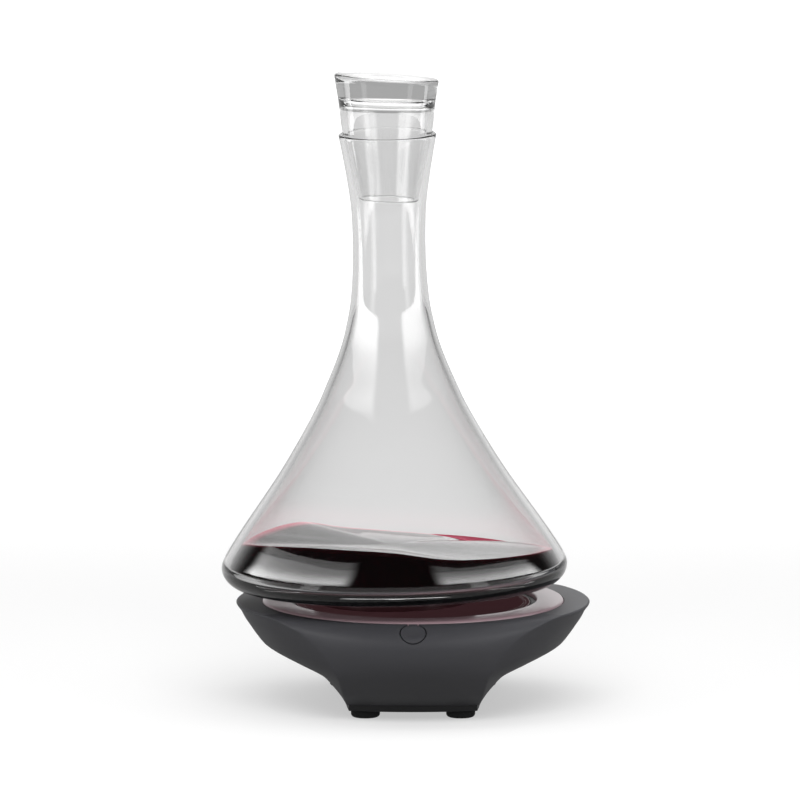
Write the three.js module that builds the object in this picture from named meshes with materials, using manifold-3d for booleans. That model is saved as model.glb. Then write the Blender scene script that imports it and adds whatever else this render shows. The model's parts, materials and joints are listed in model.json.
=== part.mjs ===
// Aerating wine decanter: a glass decanter with a stopper, swirled in a small circle by a motorised base.
// Millimetres, +Z up, the floor at z = 0, the front towards -Y, the middle of the whole box at x = 0.

import * as THREE from "three";
import { mergeVertices } from "three/addons/utils/BufferGeometryUtils.js";
import Module from "manifold-3d";

const wasm = await Module();
wasm.setup();

// Clearances
const seat_gap = 0.3; // between pieces that rest on or sit in each other
const cut_overrun = 2; // how far a cutter passes the face it cuts
const weld_tolerance = 0.001; // points closer than this are one point

// Facets round a full turn
const large_facets = 40;
const medium_facets = 28;
const small_facets = 16;
const screw_facets = 10;

// Feet and bottom cover
const foot_radius = 8.8;
const foot_height = 4.45;
const foot_edge_radius = 2.2;
const foot_screw_recess = 2.2;
const front_foot_inset = 11.5; // corner of the housing's bottom to the foot's middle, across
const rear_foot_inset = 11.9;
const foot_end_inset = 9.1; // the same, along
const cover_plate_thickness = 3.65;
const cover_inset = 1.5;
const cover_floor_thickness = 2.4;
const cover_lip_height = 2.2;
const cover_lip_thickness = 2;
const cover_lip_gap = 2.1; // lip to the housing, whose wall leans

// Upper housing
const rim_radius = 107.3;
const housing_height = 53.5;
const housing_wall = 3.4; // measured level, through the undercut
const deck_thickness = 2.6;
const deck_blend_height = 20; // where the deck's thickness has passed into the wall's
const frame_boss_radius = 3.2;
const frame_boss_bore_depth = 7;

// Light ring and its board
const deck_width = 15.7; // rim to ring
const ring_width = 16.4;
const ring_height = 5.4;
const ring_rise = 1.2; // above the deck
const ring_edge_radius = 1.2;
const ring_leg_thickness = 2.4;
const ring_skin_thickness = 2.6;
const light_board_thickness = 1.2;
const light_count = 12;
const light_length = 3.6;
const light_width = 2.8;
const light_height = 1.4;

// Inner frame
const channel_depth = 5.4;
const frame_floor_thickness = 2.6;
const frame_wall = 2.7;
const frame_skirt = 4;
const well_edge_drop = 2.4; // ring top to the well wall's edge
const ledge_width = 2.2;
const ear_azimuth = 28 * (Math.PI / 180);
const ear_reach = 4.7; // ring's edge to the screw
const ear_radius = 3.4;
const ear_thickness = 3;
const bearing_boss_radius = 11;
const bearing_boss_height = 3;
const foot_post_radius = 3.6;
const foot_post_bore_depth = 14;
const bracket_post_radius = 4;
const bracket_post_x = 36;
const bracket_post_y = 10;
const bracket_post_bore_depth = 9;

// Screws
const screw_radius = 1.5;
const screw_head_radius = 2.6;
const screw_head_height = 1.6;
const frame_screw_length = 9.5;
const foot_screw_length = 18;
const bracket_screw_length = 9;
const motor_screw_length = 6;
const weight_screw_length = 4.6;

// Swirl disc, spindle and bearings
const well_wall = 2.9;
const disc_clearance = 0.8;
const disc_drop = 2.2; // ring top to disc top
const disc_thickness = 3;
const disc_groove_width = 1.4;
const disc_groove_depth = 0.5;
const disc_groove_inset = 2.6;
const disc_hub_radius = 20;
const disc_hub_cap = 1.4;
const spindle_radius = 4;
const spindle_flat = 3; // axis to flat
const spindle_end_length = 0.8;
const bush_radius = 8;
const bush_flange_radius = 9.5;
const bush_flange_thickness = 1;
const bush_length = 5.6;
const lower_bush_length = 4.6;

// Balance weight
const weight_hub_gap = 12; // disc's hub to the weight
const weight_inset = 9.2; // disc's edge to the weight's
const weight_span = 150 * (Math.PI / 180);
const weight_thickness = 2.6;
const weight_screw_radius_at = 47;
const weight_screw_angle = 50 * (Math.PI / 180);
const weight_steps = 14;

// Gears
const gear_module = 0.8;
const gear_teeth = 56;
const pinion_teeth = 14;
const pressure_angle = 20 * (Math.PI / 180);
const gear_addendum_share = 0.8;
const pinion_addendum_share = 1;
const dedendum_share = 1.25;
const gear_backlash = 0.24;
const gear_width = 5;
const gear_web_thickness = 2.4;
const gear_rim_thickness = 3;
const gear_hub_radius = 9;
const gear_hub_height = 10;
const gear_face_drop = 2.2; // hub top to the teeth
const pinion_overhang = 0.7;

// Motor and bracket
const motor_radius = 12.2;
const motor_floor_gap = 5.2; // cover's floor to the motor
const motor_edge_radius = 1;
const motor_nose_radius = 5;
const motor_nose_height = 1.6;
const motor_shaft_radius = 1.5;
const motor_bore_depth = 6;
const motor_screw_spacing = 17.6;
const bracket_thickness = 2;
const bracket_width = 86;
const bracket_front_reach = 14;
const bracket_back_margin = 4;

// Crank pin and seat
const orbit_radius = 11.3;
const lean = 0.92 * (Math.PI / 180);
const pin_radius = 5;
const pin_flange_radius = 10;
const pin_flange_thickness = 1.2;
const seat_bush_radius = 8;
const seat_running_gap = 0.5;
const tray_radius = 48.5;
const tray_edge_radius = 1.2;
const tray_wall = 2.4;
const tray_plate_thickness = 3;
const tray_hub_radius = 12;
const tray_cap_thickness = 1.2;
const pad_radius = 46.5;
const pad_thickness = 2.2;
const pad_edge_radius = 0.9;

// Glass decanter
const glass_radius = 105;
const neck_radius = 22.04;
const mouth_radius = 29.75;
const glass_height = 275.3;
const glass_clearance = 9.4; // ring top to the glass
const glass_floor_thickness = 7.5;
const punt_rise = 1.5;
const punt_radius = 80;
const punt_edge_radius = 84;
const glass_widest_share = 0.0396;
// Outside of the body: height as a share of the glass's, and radius as a share of the way from neck to widest
const glass_body_shares = [
  [0, 0.8313],
  [0.0035, 0.9156],
  [0.0189, 0.9771],
  [0.0396, 1],
  [0.0588, 0.9808],
  [0.0915, 0.9168],
  [0.1348, 0.8215],
  [0.186, 0.7035],
  [0.2492, 0.5612],
  [0.3306, 0.3986],
  [0.4017, 0.2707],
  [0.4486, 0.202],
  [0.4954, 0.1369],
  [0.5401, 0.085],
  [0.5866, 0.0477],
  [0.6313, 0.0213],
  [0.6938, 0.0046],
  [0.7428, -0],
];
// Outside over the neck: height as before, and radius as a share of the way from neck to mouth
const glass_mouth_shares = [
  [0.785, 0.0081],
  [0.8427, 0.1116],
  [0.8987, 0.3704],
  [0.9488, 0.6686],
  [0.997, 0.9846],
];
// The inside follows the rows above from this height share on
const glass_inner_start_share = 0.05;
const glass_wall_low = 4.8;
const glass_wall_shoulder = 3.6;
const glass_wall_neck = 3;
const glass_wall_mouth = 2.4;
// Height shares at which those four thicknesses hold
const glass_wall_height_shares = [0.0588, 0.3306, 0.6313, 1];
// Inside corner between floor and wall: share of the floor's reach, share of the climb to the wall
const glass_corner_shares = [
  [0.9, 0],
  [0.965, 0.16],
  [0.992, 0.5],
];
const lip_round_share = 0.35;

// Wine
const wine_level = 22.2; // mean height of the surface's edge above the glass's underside
const wine_wave = 10;
const wine_columns = 40;
const wine_wall_steps = 4;
const wine_surface_steps = 4;
const wine_dish_share = 1.6; // power of the surface's rise from the middle to the edge
// Turn from the front towards +X, and height of the edge over the mean, as shares of a turn and of the wave
const wine_edge_shares = [
  [-0.3889, 0.29],
  [-0.3083, 0.25],
  [-0.25, 0.1],
  [-0.1917, 0.46],
  [-0.1111, 0.9],
  [-0.0556, 1],
  [0, 0.91],
  [0.0583, 0.48],
  [0.1056, 0.33],
  [0.1639, 0.19],
  [0.25, -0.1],
  [0.3361, -0.59],
  [0.3944, -1.18],
  [0.4389, -1.02],
  [0.5, -0.82],
  [0.5528, -0.44],
];

// Stopper
const stopper_top_flare = 4.6; // beyond its radius in the mouth
const stopper_waist_flare = 2.35;
const stopper_foot_gap = 0.8; // foot to the neck's inside
const stopper_height = 75;
const stopper_exposed_height = 35; // over the mouth, at the axis
const stopper_edge_radius = 1.6;
const stopper_solid_height = 14;
const stopper_wall = 3;
const stopper_top_slant = 4.5 * (Math.PI / 180);
const stopper_back_slant = 3.2 * (Math.PI / 180);
const stopper_foot_slant = 3.5 * (Math.PI / 180);
const stopper_waist_share = 0.787; // height of the bend in its side, from the foot

// Power button
const button_radius = 8;
const button_reach = 8.4; // ring's edge to the button's middle, level
const button_slope = 34 * (Math.PI / 180);
const button_tab_width = 5.3;
const button_gap = 0.5;
const button_reach_above = 4;
const button_reach_below = 7;
const button_dish_radius = 26;
const button_dish_depth = 1;
const button_stem_radius = 1.2;
const button_stem_reach = 5;

// Button board
const button_board_width = 16;
const button_board_height = 10;
const button_board_thickness = 1.2;
const switch_size = 6;
const switch_height_share = 0.66; // switch's middle up the board
const switch_depth = 2.2;
const switch_plunger_radius = 1.4;
const switch_plunger_length = 0.5;

// Control board
const control_board_width = 50;
const control_board_depth = 32;
const control_board_thickness = 1.6;
const control_board_gap = 6; // to the front foot posts
const control_post_height = 3;
const control_post_radius = 2.5;
const capacitor_radius = 4;
const capacitor_height = 9;
const chip_size = 10;
const chip_height = 1.6;
const plug_length = 12;
const plug_width = 6;
const plug_height = 7;

// Power inlet
const inlet_z = 35;
const inlet_radius = 5.5;
const inlet_length = 13;
const inlet_collar_radius = 7.2;
const inlet_collar_length = 3;
const inlet_bore_radius = 3.2;
const inlet_bore_depth = 9;
const inlet_pin_radius = 1;
const inlet_boss_radius = 8.5;
const inlet_boss_length = 9;
const inlet_boss_proud = 0.6;

// Housing sections from the deck down: depth of the level, front depth, ridge x, ridge depth,
// rear ridge x and half width, the first as a share of the height, the rest as shares of the rim radius
const housing_section_shares = [
  [0, 0.862, 0.833, 0.5405, 0.833, 0.993],
  [0.0187, 0.8872, 0.7912, 0.6116, 0.7912, 1],
  [0.0841, 0.9394, 0.6895, 0.7243, 0.6895, 0.9758],
  [0.1533, 0.9748, 0.6205, 0.7842, 0.6205, 0.9581],
  [0.2486, 0.9972, 0.5578, 0.8294, 0.5578, 0.9251],
  [0.3402, 0.9981, 0.5132, 0.8536, 0.5242, 0.8925],
  [0.4542, 0.9804, 0.4679, 0.8668, 0.505, 0.8407],
  [0.5776, 0.9413, 0.4329, 0.8592, 0.493, 0.7123],
  [0.6972, 0.8844, 0.4126, 0.8204, 0.488, 0.5623],
  [0.8393, 0.7978, 0.3956, 0.7489, 0.492, 0.4772],
  [0.9346, 0.7195, 0.3832, 0.6771, 0.498, 0.4306],
  [1, 0.6608, 0.3753, 0.6185, 0.503, 0.4017],
];
const panel_columns = 5;
const wing_columns = 5;

// Derived heights, from the floor up
const cover_bottom_z = foot_height + seat_gap;
const cover_top_z = cover_bottom_z + cover_plate_thickness;
const cover_floor_z = cover_bottom_z + cover_floor_thickness;
const housing_bottom_z = cover_top_z + seat_gap;
const deck_z = housing_bottom_z + housing_height;
const ring_top_z = deck_z + ring_rise;
const ring_bottom_z = ring_top_z - ring_height;
const ledge_z = ring_bottom_z - seat_gap;
const frame_floor_z = ledge_z - channel_depth;
const frame_underside_z = frame_floor_z - frame_floor_thickness;
const frame_skirt_z = frame_underside_z - frame_skirt;
const bearing_boss_z = frame_underside_z - bearing_boss_height;
const disc_top_z = ring_top_z - disc_drop;
const disc_bottom_z = disc_top_z - disc_thickness;
const upper_bush_z = frame_floor_z + seat_gap;
const disc_hub_z = upper_bush_z + bush_flange_thickness + seat_gap;
const gear_hub_top_z = bearing_boss_z - seat_gap;
const gear_hub_bottom_z = gear_hub_top_z - gear_hub_height;
const gear_top_z = gear_hub_top_z - gear_face_drop;
const gear_bottom_z = gear_top_z - gear_width;
const lower_bush_z = gear_hub_bottom_z - seat_gap - bush_flange_thickness;
const bracket_top_z = lower_bush_z - seat_gap;
const bracket_bottom_z = bracket_top_z - bracket_thickness;
const motor_top_z = bracket_bottom_z - seat_gap;
const motor_bottom_z = cover_floor_z + motor_floor_gap;
const weight_top_z = disc_bottom_z - seat_gap;
const weight_bottom_z = weight_top_z - weight_thickness;

// Derived radii
const ring_outer_radius = rim_radius - deck_width;
const ear_distance = ring_outer_radius + ear_reach;
const button_depth_from_axis = ring_outer_radius + button_reach;
const opening_radius = ring_outer_radius + seat_gap;
const ring_inner_radius = ring_outer_radius - ring_width;
const well_wall_radius = ring_inner_radius - seat_gap;
const well_radius = well_wall_radius - well_wall;
const disc_radius = well_radius - disc_clearance;
const weight_outer_radius = disc_radius - weight_inset;
const weight_inner_radius = disc_hub_radius + weight_hub_gap;
const ledge_radius = well_wall_radius + ledge_width;
const screw_hole_radius = screw_radius + seat_gap;
const spindle_bore_radius = spindle_radius + seat_gap;
const bush_bore_radius = bush_radius + seat_gap;

// Derived places of the feet
const [, , bottomFrontX, bottomDepth, bottomRearX] = housing_section_shares[housing_section_shares.length - 1];
const front_foot_x = bottomFrontX * rim_radius - front_foot_inset;
const rear_foot_x = bottomRearX * rim_radius - rear_foot_inset;
const foot_y = bottomDepth * rim_radius - foot_end_inset;
const control_board_y = foot_post_radius + control_board_gap + control_board_depth / 2 - foot_y;

// Derived gear sizes
const gear_pitch_radius = (gear_module * gear_teeth) / 2;
const pinion_pitch_radius = (gear_module * pinion_teeth) / 2;
const motor_y = gear_pitch_radius + pinion_pitch_radius;
const gear_root_radius = gear_pitch_radius - dedendum_share * gear_module;

// Derived heights along the leaning seat axis
const glass_bottom_z = ring_top_z + glass_clearance;
const glass_widest_z = glass_bottom_z + glass_widest_share * glass_height;
const pad_top_z = glass_bottom_z + punt_rise - seat_gap;
const pad_bottom_z = pad_top_z - pad_thickness;
const tray_top_z = pad_bottom_z - seat_gap;
const tray_bottom_z = disc_top_z + tray_radius * Math.tan(lean) + seat_running_gap;
const pin_flange_z = disc_top_z + seat_gap + pin_flange_radius * Math.tan(lean);
const seat_bush_z = pin_flange_z + pin_flange_thickness + seat_gap;
const tray_hub_z = seat_bush_z + bush_flange_thickness + seat_gap;
const tray_bore_top_z = tray_top_z - tray_cap_thickness;
const mouth_z = glass_bottom_z + glass_height;
const stopper_seat_share = (stopper_height - stopper_exposed_height) / stopper_height;

// Places: the base stands so that the whole box is centred, and the seat leans on its own axis
const base_x = (orbit_radius + glass_radius - rim_radius) / 2;
const base_place = new THREE.Matrix4().makeTranslation(base_x, 0, 0);
const seat_place = new THREE.Matrix4()
  .makeTranslation(base_x - orbit_radius, 0, glass_widest_z)
  .multiply(new THREE.Matrix4().makeRotationY(-lean))
  .multiply(new THREE.Matrix4().makeTranslation(0, 0, -glass_widest_z));
const seat_in_base = base_place.clone().invert().multiply(seat_place);

// Solids

function solidOf(geometry) {
  const plain = geometry.index ? geometry.toNonIndexed() : geometry.clone();
  plain.deleteAttribute("normal");
  plain.deleteAttribute("uv");
  const merged = mergeVertices(plain, weld_tolerance);
  return new wasm.Manifold(
    new wasm.Mesh({
      numProp: 3,
      vertProperties: merged.attributes.position.array,
      triVerts: new Uint32Array(merged.index.array),
    }),
  );
}

function geometryOf(solid) {
  const mesh = solid.getMesh();
  const geometry = new THREE.BufferGeometry();
  geometry.setAttribute("position", new THREE.BufferAttribute(new Float32Array(mesh.vertProperties), 3));
  geometry.setIndex(new THREE.BufferAttribute(new Uint32Array(mesh.triVerts), 1));
  return geometry;
}

function join(first, ...others) {
  return geometryOf(others.reduce((whole, part) => whole.add(solidOf(part)), solidOf(first)));
}

function cut(first, ...cutters) {
  return geometryOf(cutters.reduce((whole, cutter) => whole.subtract(solidOf(cutter)), solidOf(first)));
}

function common(first, second) {
  return geometryOf(solidOf(first).intersect(solidOf(second)));
}

// A ring of points that runs with the outside on its right encloses a positive area.
function areaOf(points) {
  return points.reduce((sum, [x, y], i) => {
    const [nextX, nextY] = points[(i + 1) % points.length];
    return sum + (x * nextY - nextX * y) / 2;
  }, 0);
}

// Points are [radius, z]; a profile off the axis is closed into a ring.
function revolve(points, facets) {
  const facing = areaOf(points) > 0 ? points : [...points].reverse();
  const closed = facing[0][0] === 0 ? facing : [...facing, facing[0]];
  const outline = closed.map(([radius, z]) => new THREE.Vector2(radius, z));
  return new THREE.LatheGeometry(outline, facets).rotateX(Math.PI / 2);
}

function cylinder(radius, low, high, x = 0, y = 0, facets = small_facets) {
  const upright = new THREE.CylinderGeometry(radius, radius, high - low, facets).rotateX(Math.PI / 2);
  return upright.translate(x, y, (low + high) / 2);
}

function tube(outer, inner, low, high, facets) {
  const profile = [
    [inner, low],
    [outer, low],
    [outer, high],
    [inner, high],
  ];
  return revolve(profile, facets);
}

function box(width, depth, low, high, x = 0, y = 0) {
  return new THREE.BoxGeometry(width, depth, high - low).translate(x, y, (low + high) / 2);
}

// Points are [x, y].
function plate(points, low, high) {
  const shape = new THREE.Shape(points.map(([x, y]) => new THREE.Vector2(x, y)));
  return new THREE.ExtrudeGeometry(shape, { depth: high - low, bevelEnabled: false }).translate(0, 0, low);
}

// A quarter round of points about [radius, z], from one angle to another.
function roundCorner(radius, z, size, from, to, steps = 3) {
  return Array.from({ length: steps + 1 }, (_, i) => {
    const angle = from + ((to - from) * i) / steps;
    return [radius + size * Math.cos(angle), z + size * Math.sin(angle)];
  });
}

// Rings of [x, y, z] points, all of one length and the lowest first, skinned and closed by a fan at each end.
function skin(rings, lowEnd, highEnd) {
  const count = rings[0].length;
  const positions = [...rings.flat(), lowEnd, highEnd].flat();
  const lowIndex = rings.length * count;
  const index = [];
  for (let k = 0; k < count; k++) {
    const next = (k + 1) % count;
    for (let row = 0; row < rings.length - 1; row++) {
      const low = row * count;
      const high = low + count;
      index.push(low + k, low + next, high + next);
      index.push(low + k, high + next, high + k);
    }
    const last = (rings.length - 1) * count;
    index.push(lowIndex, next, k);
    index.push(lowIndex + 1, last + k, last + next);
  }
  const geometry = new THREE.BufferGeometry();
  geometry.setAttribute("position", new THREE.BufferAttribute(new Float32Array(positions), 3));
  geometry.setIndex(index);
  return geometry;
}

// Value at a place in a table of [place, value] rows, straight between rows.
function between(rows, place) {
  const last = rows.findIndex((row) => row[0] >= place);
  if (last <= 0) return last === 0 ? rows[0][1] : rows[rows.length - 1][1];
  const [lowPlace, lowValue] = rows[last - 1];
  const [highPlace, highValue] = rows[last];
  return lowValue + ((highValue - lowValue) * (place - lowPlace)) / (highPlace - lowPlace);
}

// Housing

// One quarter of a section, from the middle of the panel over the ridge to the side, as [x, depth].
function quarterSection(front, ridgeX, ridgeDepth, halfWidth) {
  const sag = (depth) => rim_radius - Math.sqrt(rim_radius * rim_radius - depth * depth);
  const ridgeAngle = Math.atan2(ridgeX, ridgeDepth);
  const ridgeRadius = Math.hypot(ridgeX, ridgeDepth);
  const panel = Array.from({ length: panel_columns + 1 }, (_, i) => {
    const angle = (ridgeAngle * i) / panel_columns;
    const radius = front + (ridgeRadius - front) * (i / panel_columns) ** 2;
    return [radius * Math.sin(angle), radius * Math.cos(angle)];
  });
  const narrowing = (halfWidth - ridgeX) / sag(ridgeDepth);
  const wing = Array.from({ length: wing_columns }, (_, i) => {
    const depth = ridgeDepth * (1 - (i + 1) / wing_columns);
    return [halfWidth - narrowing * sag(depth), depth];
  });
  return [...panel, ...wing];
}

// The outline of one section, moved inwards by the inset, as [x, y] all round from the front's middle.
function sectionOutline(row, inset) {
  const [, front, ridgeX, ridgeDepth, rearRidgeX, halfWidth] = row.map((share) => share * rim_radius - inset);
  const ahead = quarterSection(front, ridgeX, ridgeDepth, halfWidth).map(([x, depth]) => [x, -depth]);
  const behind = quarterSection(front, rearRidgeX, ridgeDepth, halfWidth).slice(0, -1);
  const right = [...ahead, ...behind.reverse()];
  const left = right.slice(1, -1).map(([x, y]) => [-x, y]);
  return [...right, ...left.reverse()];
}

function housingOuter() {
  const rings = housing_section_shares.map((row) =>
    sectionOutline(row, 0).map(([x, y]) => [x, y, deck_z - row[0] * housing_height]),
  );
  return skin(rings.reverse(), [0, 0, housing_bottom_z], [0, 0, deck_z]);
}

// The hollow inside the shell; it runs on below the housing so that the bottom is open.
function housingHollow() {
  const rings = housing_section_shares.map((row) => {
    const level = row[0] * housing_height;
    const sunk = deck_thickness * Math.max(0, 1 - level / deck_blend_height);
    return sectionOutline(row, housing_wall).map(([x, y]) => [x, y, deck_z - level - sunk]);
  });
  const below = rings[rings.length - 1].map(([x, y]) => [x, y, housing_bottom_z - cut_overrun]);
  return skin(
    [...rings, below].reverse(),
    [0, 0, housing_bottom_z - cut_overrun],
    [0, 0, deck_z - deck_thickness],
  );
}

function earPlaces() {
  const places = [ear_azimuth, -ear_azimuth, Math.PI + ear_azimuth, Math.PI - ear_azimuth];
  return places.map((azimuth) => [ear_distance * Math.sin(azimuth), -ear_distance * Math.cos(azimuth)]);
}

// A frame with its z along the button's outward normal and its y up the slope, its origin on the roll.
function buttonPlace() {
  const roll = housing_section_shares.map((row) => [row[1] * rim_radius, row[0] * housing_height]);
  const level = between(roll, button_depth_from_axis);
  return new THREE.Matrix4()
    .makeTranslation(0, -button_depth_from_axis, deck_z - level)
    .multiply(new THREE.Matrix4().makeRotationX(button_slope));
}

// The button's outline with its tab, grown by a margin, as a prism through the shell.
function buttonPrism(margin) {
  const disc = cylinder(button_radius + margin, -button_reach_below, button_reach_above, 0, 0, medium_facets);
  const tab_length = button_radius + button_depth_from_axis - opening_radius + cut_overrun;
  const tab_width = button_tab_width + 2 * margin;
  const tab = box(tab_width, tab_length, -button_reach_below, button_reach_above, 0, tab_length / 2);
  return join(disc, tab).applyMatrix4(buttonPlace());
}

function upperHousing() {
  const outer = housingOuter();
  const shell = cut(outer, housingHollow());
  const boss_z = frame_skirt_z + ear_thickness + seat_gap;
  const bosses = earPlaces().map(([x, y]) => common(cylinder(frame_boss_radius, boss_z, deck_z, x, y), outer));
  const bores = earPlaces().map(([x, y]) =>
    cylinder(screw_hole_radius, boss_z - cut_overrun, boss_z + frame_boss_bore_depth, x, y, screw_facets),
  );
  const inletBoss = alongRear(cylinder(inlet_boss_radius, -inlet_boss_length, inlet_boss_proud));
  const inletHole = alongRear(
    cylinder(inlet_radius + seat_gap, -inlet_boss_length - cut_overrun, inlet_boss_proud + cut_overrun),
  );
  const opening = cylinder(opening_radius, frame_skirt_z, deck_z + cut_overrun, 0, 0, large_facets);
  return cut(
    join(shell, ...bosses, inletBoss),
    opening,
    ...bores,
    inletHole,
    buttonPrism(button_gap),
  );
}

// Turns a piece made along z to point out of the rear panel at the inlet's height.
function alongRear(geometry) {
  const roll = housing_section_shares.map((row) => [row[0] * housing_height, row[1] * rim_radius]);
  const depth = between(roll, deck_z - inlet_z);
  return geometry.rotateX(-Math.PI / 2).translate(0, depth, inlet_z);
}

function powerButton() {
  const skinPiece = cut(common(housingOuter(), buttonPrism(0)), housingHollow());
  const stem = cylinder(button_stem_radius, -button_stem_reach, -deck_thickness / 2, 0, 0, screw_facets);
  const whole = join(skinPiece, stem.applyMatrix4(buttonPlace()));
  const dish = new THREE.SphereGeometry(button_dish_radius, medium_facets, small_facets);
  dish.translate(0, 0, button_dish_radius - button_dish_depth).applyMatrix4(buttonPlace());
  const clear = cylinder(opening_radius + seat_gap, frame_skirt_z, deck_z + cut_overrun, 0, 0, large_facets);
  return cut(whole, dish, clear);
}

// Bottom cover and feet

function footPlaces() {
  return [
    ["foot_front_left", "foot_screw_front_left", -front_foot_x, -foot_y],
    ["foot_front_right", "foot_screw_front_right", front_foot_x, -foot_y],
    ["foot_rear_left", "foot_screw_rear_left", -rear_foot_x, foot_y],
    ["foot_rear_right", "foot_screw_rear_right", rear_foot_x, foot_y],
  ];
}

function bottomCover() {
  const bottom = housing_section_shares[housing_section_shares.length - 1];
  const lip_inset = housing_wall + cover_lip_gap;
  const lip_top_z = cover_top_z + cover_lip_height;
  const body = plate(sectionOutline(bottom, cover_inset), cover_bottom_z, cover_top_z);
  const lip = plate(sectionOutline(bottom, lip_inset), cover_top_z - seat_gap, lip_top_z);
  const pocket = plate(
    sectionOutline(bottom, lip_inset + cover_lip_thickness),
    cover_floor_z,
    lip_top_z + cut_overrun,
  );
  const posts = controlPosts().map(([x, y]) =>
    cylinder(control_post_radius, cover_floor_z - seat_gap, cover_floor_z + control_post_height, x, y, screw_facets),
  );
  const holes = footPlaces().map(([, , x, y]) =>
    cylinder(screw_hole_radius, cover_bottom_z - cut_overrun, cover_top_z, x, y, screw_facets),
  );
  const postNiches = footPlaces().map(([, , x, y]) =>
    cylinder(foot_post_radius + seat_gap, cover_floor_z, lip_top_z + cut_overrun, x, y),
  );
  return cut(join(cut(join(body, lip), pocket), ...posts), ...holes, ...postNiches);
}

function foot(x, y) {
  const profile = [
    [screw_hole_radius, foot_screw_recess],
    [screw_head_radius + seat_gap, foot_screw_recess],
    [screw_head_radius + seat_gap, 0],
    ...roundCorner(foot_radius - foot_edge_radius, foot_edge_radius, foot_edge_radius, -Math.PI / 2, 0),
    [foot_radius, foot_height],
    [screw_hole_radius, foot_height],
  ];
  return revolve(profile, small_facets).translate(x, y, 0);
}

// A screw that points up, its head's underside (the side the shank leaves) at the given height.
function screw(length, seat_z, x, y) {
  const profile = [
    [0, seat_z - screw_head_height],
    [screw_head_radius, seat_z - screw_head_height],
    [screw_head_radius, seat_z],
    [screw_radius, seat_z],
    [screw_radius, seat_z + length],
    [0, seat_z + length],
  ];
  return revolve(profile, screw_facets).translate(x, y, 0);
}

// Light ring and its board

function lightRing() {
  const edge = ring_edge_radius;
  const profile = [
    [ring_inner_radius, ring_bottom_z],
    [ring_inner_radius + ring_leg_thickness, ring_bottom_z],
    [ring_inner_radius + ring_leg_thickness, ring_top_z - ring_skin_thickness],
    [ring_outer_radius - ring_leg_thickness, ring_top_z - ring_skin_thickness],
    [ring_outer_radius - ring_leg_thickness, ring_bottom_z],
    [ring_outer_radius, ring_bottom_z],
    ...roundCorner(ring_outer_radius - edge, ring_top_z - edge, edge, 0, Math.PI / 2),
    ...roundCorner(ring_inner_radius + edge / 2, ring_top_z - edge / 2, edge / 2, Math.PI / 2, Math.PI, 2),
  ];
  return revolve(profile, large_facets);
}

function lightBoard() {
  const inner = ledge_radius + seat_gap;
  const outer = ring_outer_radius - frame_wall - seat_gap;
  const low = frame_floor_z + seat_gap;
  const high = low + light_board_thickness;
  const board = tube(outer, inner, low, high, large_facets);
  const lights = Array.from({ length: light_count }, (_, i) => {
    const one = box(light_length, light_width, high - light_board_thickness / 2, high + light_height);
    return one.translate(0, (inner + outer) / 2, 0).rotateZ((2 * Math.PI * i) / light_count);
  });
  return join(board, ...lights);
}

// Inner frame

function innerFrame() {
  const drum_inner = ring_outer_radius - frame_wall;
  const well_edge_z = ring_top_z - well_edge_drop;
  const profile = [
    [bush_bore_radius, bearing_boss_z],
    [bearing_boss_radius, bearing_boss_z],
    [bearing_boss_radius, frame_underside_z],
    [drum_inner, frame_underside_z],
    [drum_inner, frame_skirt_z],
    [ring_outer_radius, frame_skirt_z],
    [ring_outer_radius, ledge_z],
    [drum_inner, ledge_z],
    [drum_inner, frame_floor_z],
    [ledge_radius, frame_floor_z],
    [ledge_radius, ledge_z],
    [well_wall_radius, ledge_z],
    [well_wall_radius, well_edge_z],
    [well_radius, well_edge_z],
    [well_radius, frame_floor_z],
    [bush_bore_radius, frame_floor_z],
  ];
  const drum = revolve(profile, large_facets);
  const inside_floor_z = frame_underside_z + frame_floor_thickness / 2;
  const footPosts = footPlaces().map(([, , x, y]) =>
    cylinder(foot_post_radius, cover_floor_z + seat_gap, inside_floor_z, x, y),
  );
  const bracketPosts = bracketPostPlaces().map(([, x, y]) =>
    cylinder(bracket_post_radius, bracket_top_z + seat_gap, inside_floor_z, x, y),
  );
  const footBores = footPlaces().map(([, , x, y]) =>
    cylinder(screw_hole_radius, 0, cover_floor_z + foot_post_bore_depth, x, y, screw_facets),
  );
  const bracketBores = bracketPostPlaces().map(([, x, y]) =>
    cylinder(screw_hole_radius, 0, bracket_top_z + bracket_post_bore_depth, x, y, screw_facets),
  );
  return cut(join(drum, ...frameEars(), ...footPosts, ...bracketPosts), ...footBores, ...bracketBores, ...earHoles());
}

function frameEars() {
  const reach = ear_distance - ring_outer_radius + frame_wall / 2;
  const middle = ear_distance - reach / 2;
  return earPlaces().map(([x, y]) => {
    const angle = Math.atan2(x, -y);
    const arm = box(2 * ear_radius, reach, frame_skirt_z, frame_skirt_z + ear_thickness, 0, -middle);
    const pad = cylinder(ear_radius, frame_skirt_z, frame_skirt_z + ear_thickness, 0, -ear_distance);
    return join(arm, pad).rotateZ(angle);
  });
}

function earHoles() {
  return earPlaces().map(([x, y]) =>
    cylinder(
      screw_hole_radius,
      frame_skirt_z - cut_overrun,
      frame_skirt_z + ear_thickness + cut_overrun,
      x,
      y,
      screw_facets,
    ),
  );
}

function bracketPostPlaces() {
  return [
    ["bracket_screw_left", -bracket_post_x, bracket_post_y],
    ["bracket_screw_right", bracket_post_x, bracket_post_y],
  ];
}

// Swirl disc, spindle, bearings and weight

// A flanged bush standing on its flange's underside, its body below.
function hangingBush(flange_z, length) {
  const profile = [
    [spindle_bore_radius, flange_z - length],
    [bush_radius, flange_z - length],
    [bush_radius, flange_z],
    [bush_flange_radius, flange_z],
    [bush_flange_radius, flange_z + bush_flange_thickness],
    [spindle_bore_radius, flange_z + bush_flange_thickness],
  ];
  return revolve(profile, small_facets);
}

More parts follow.
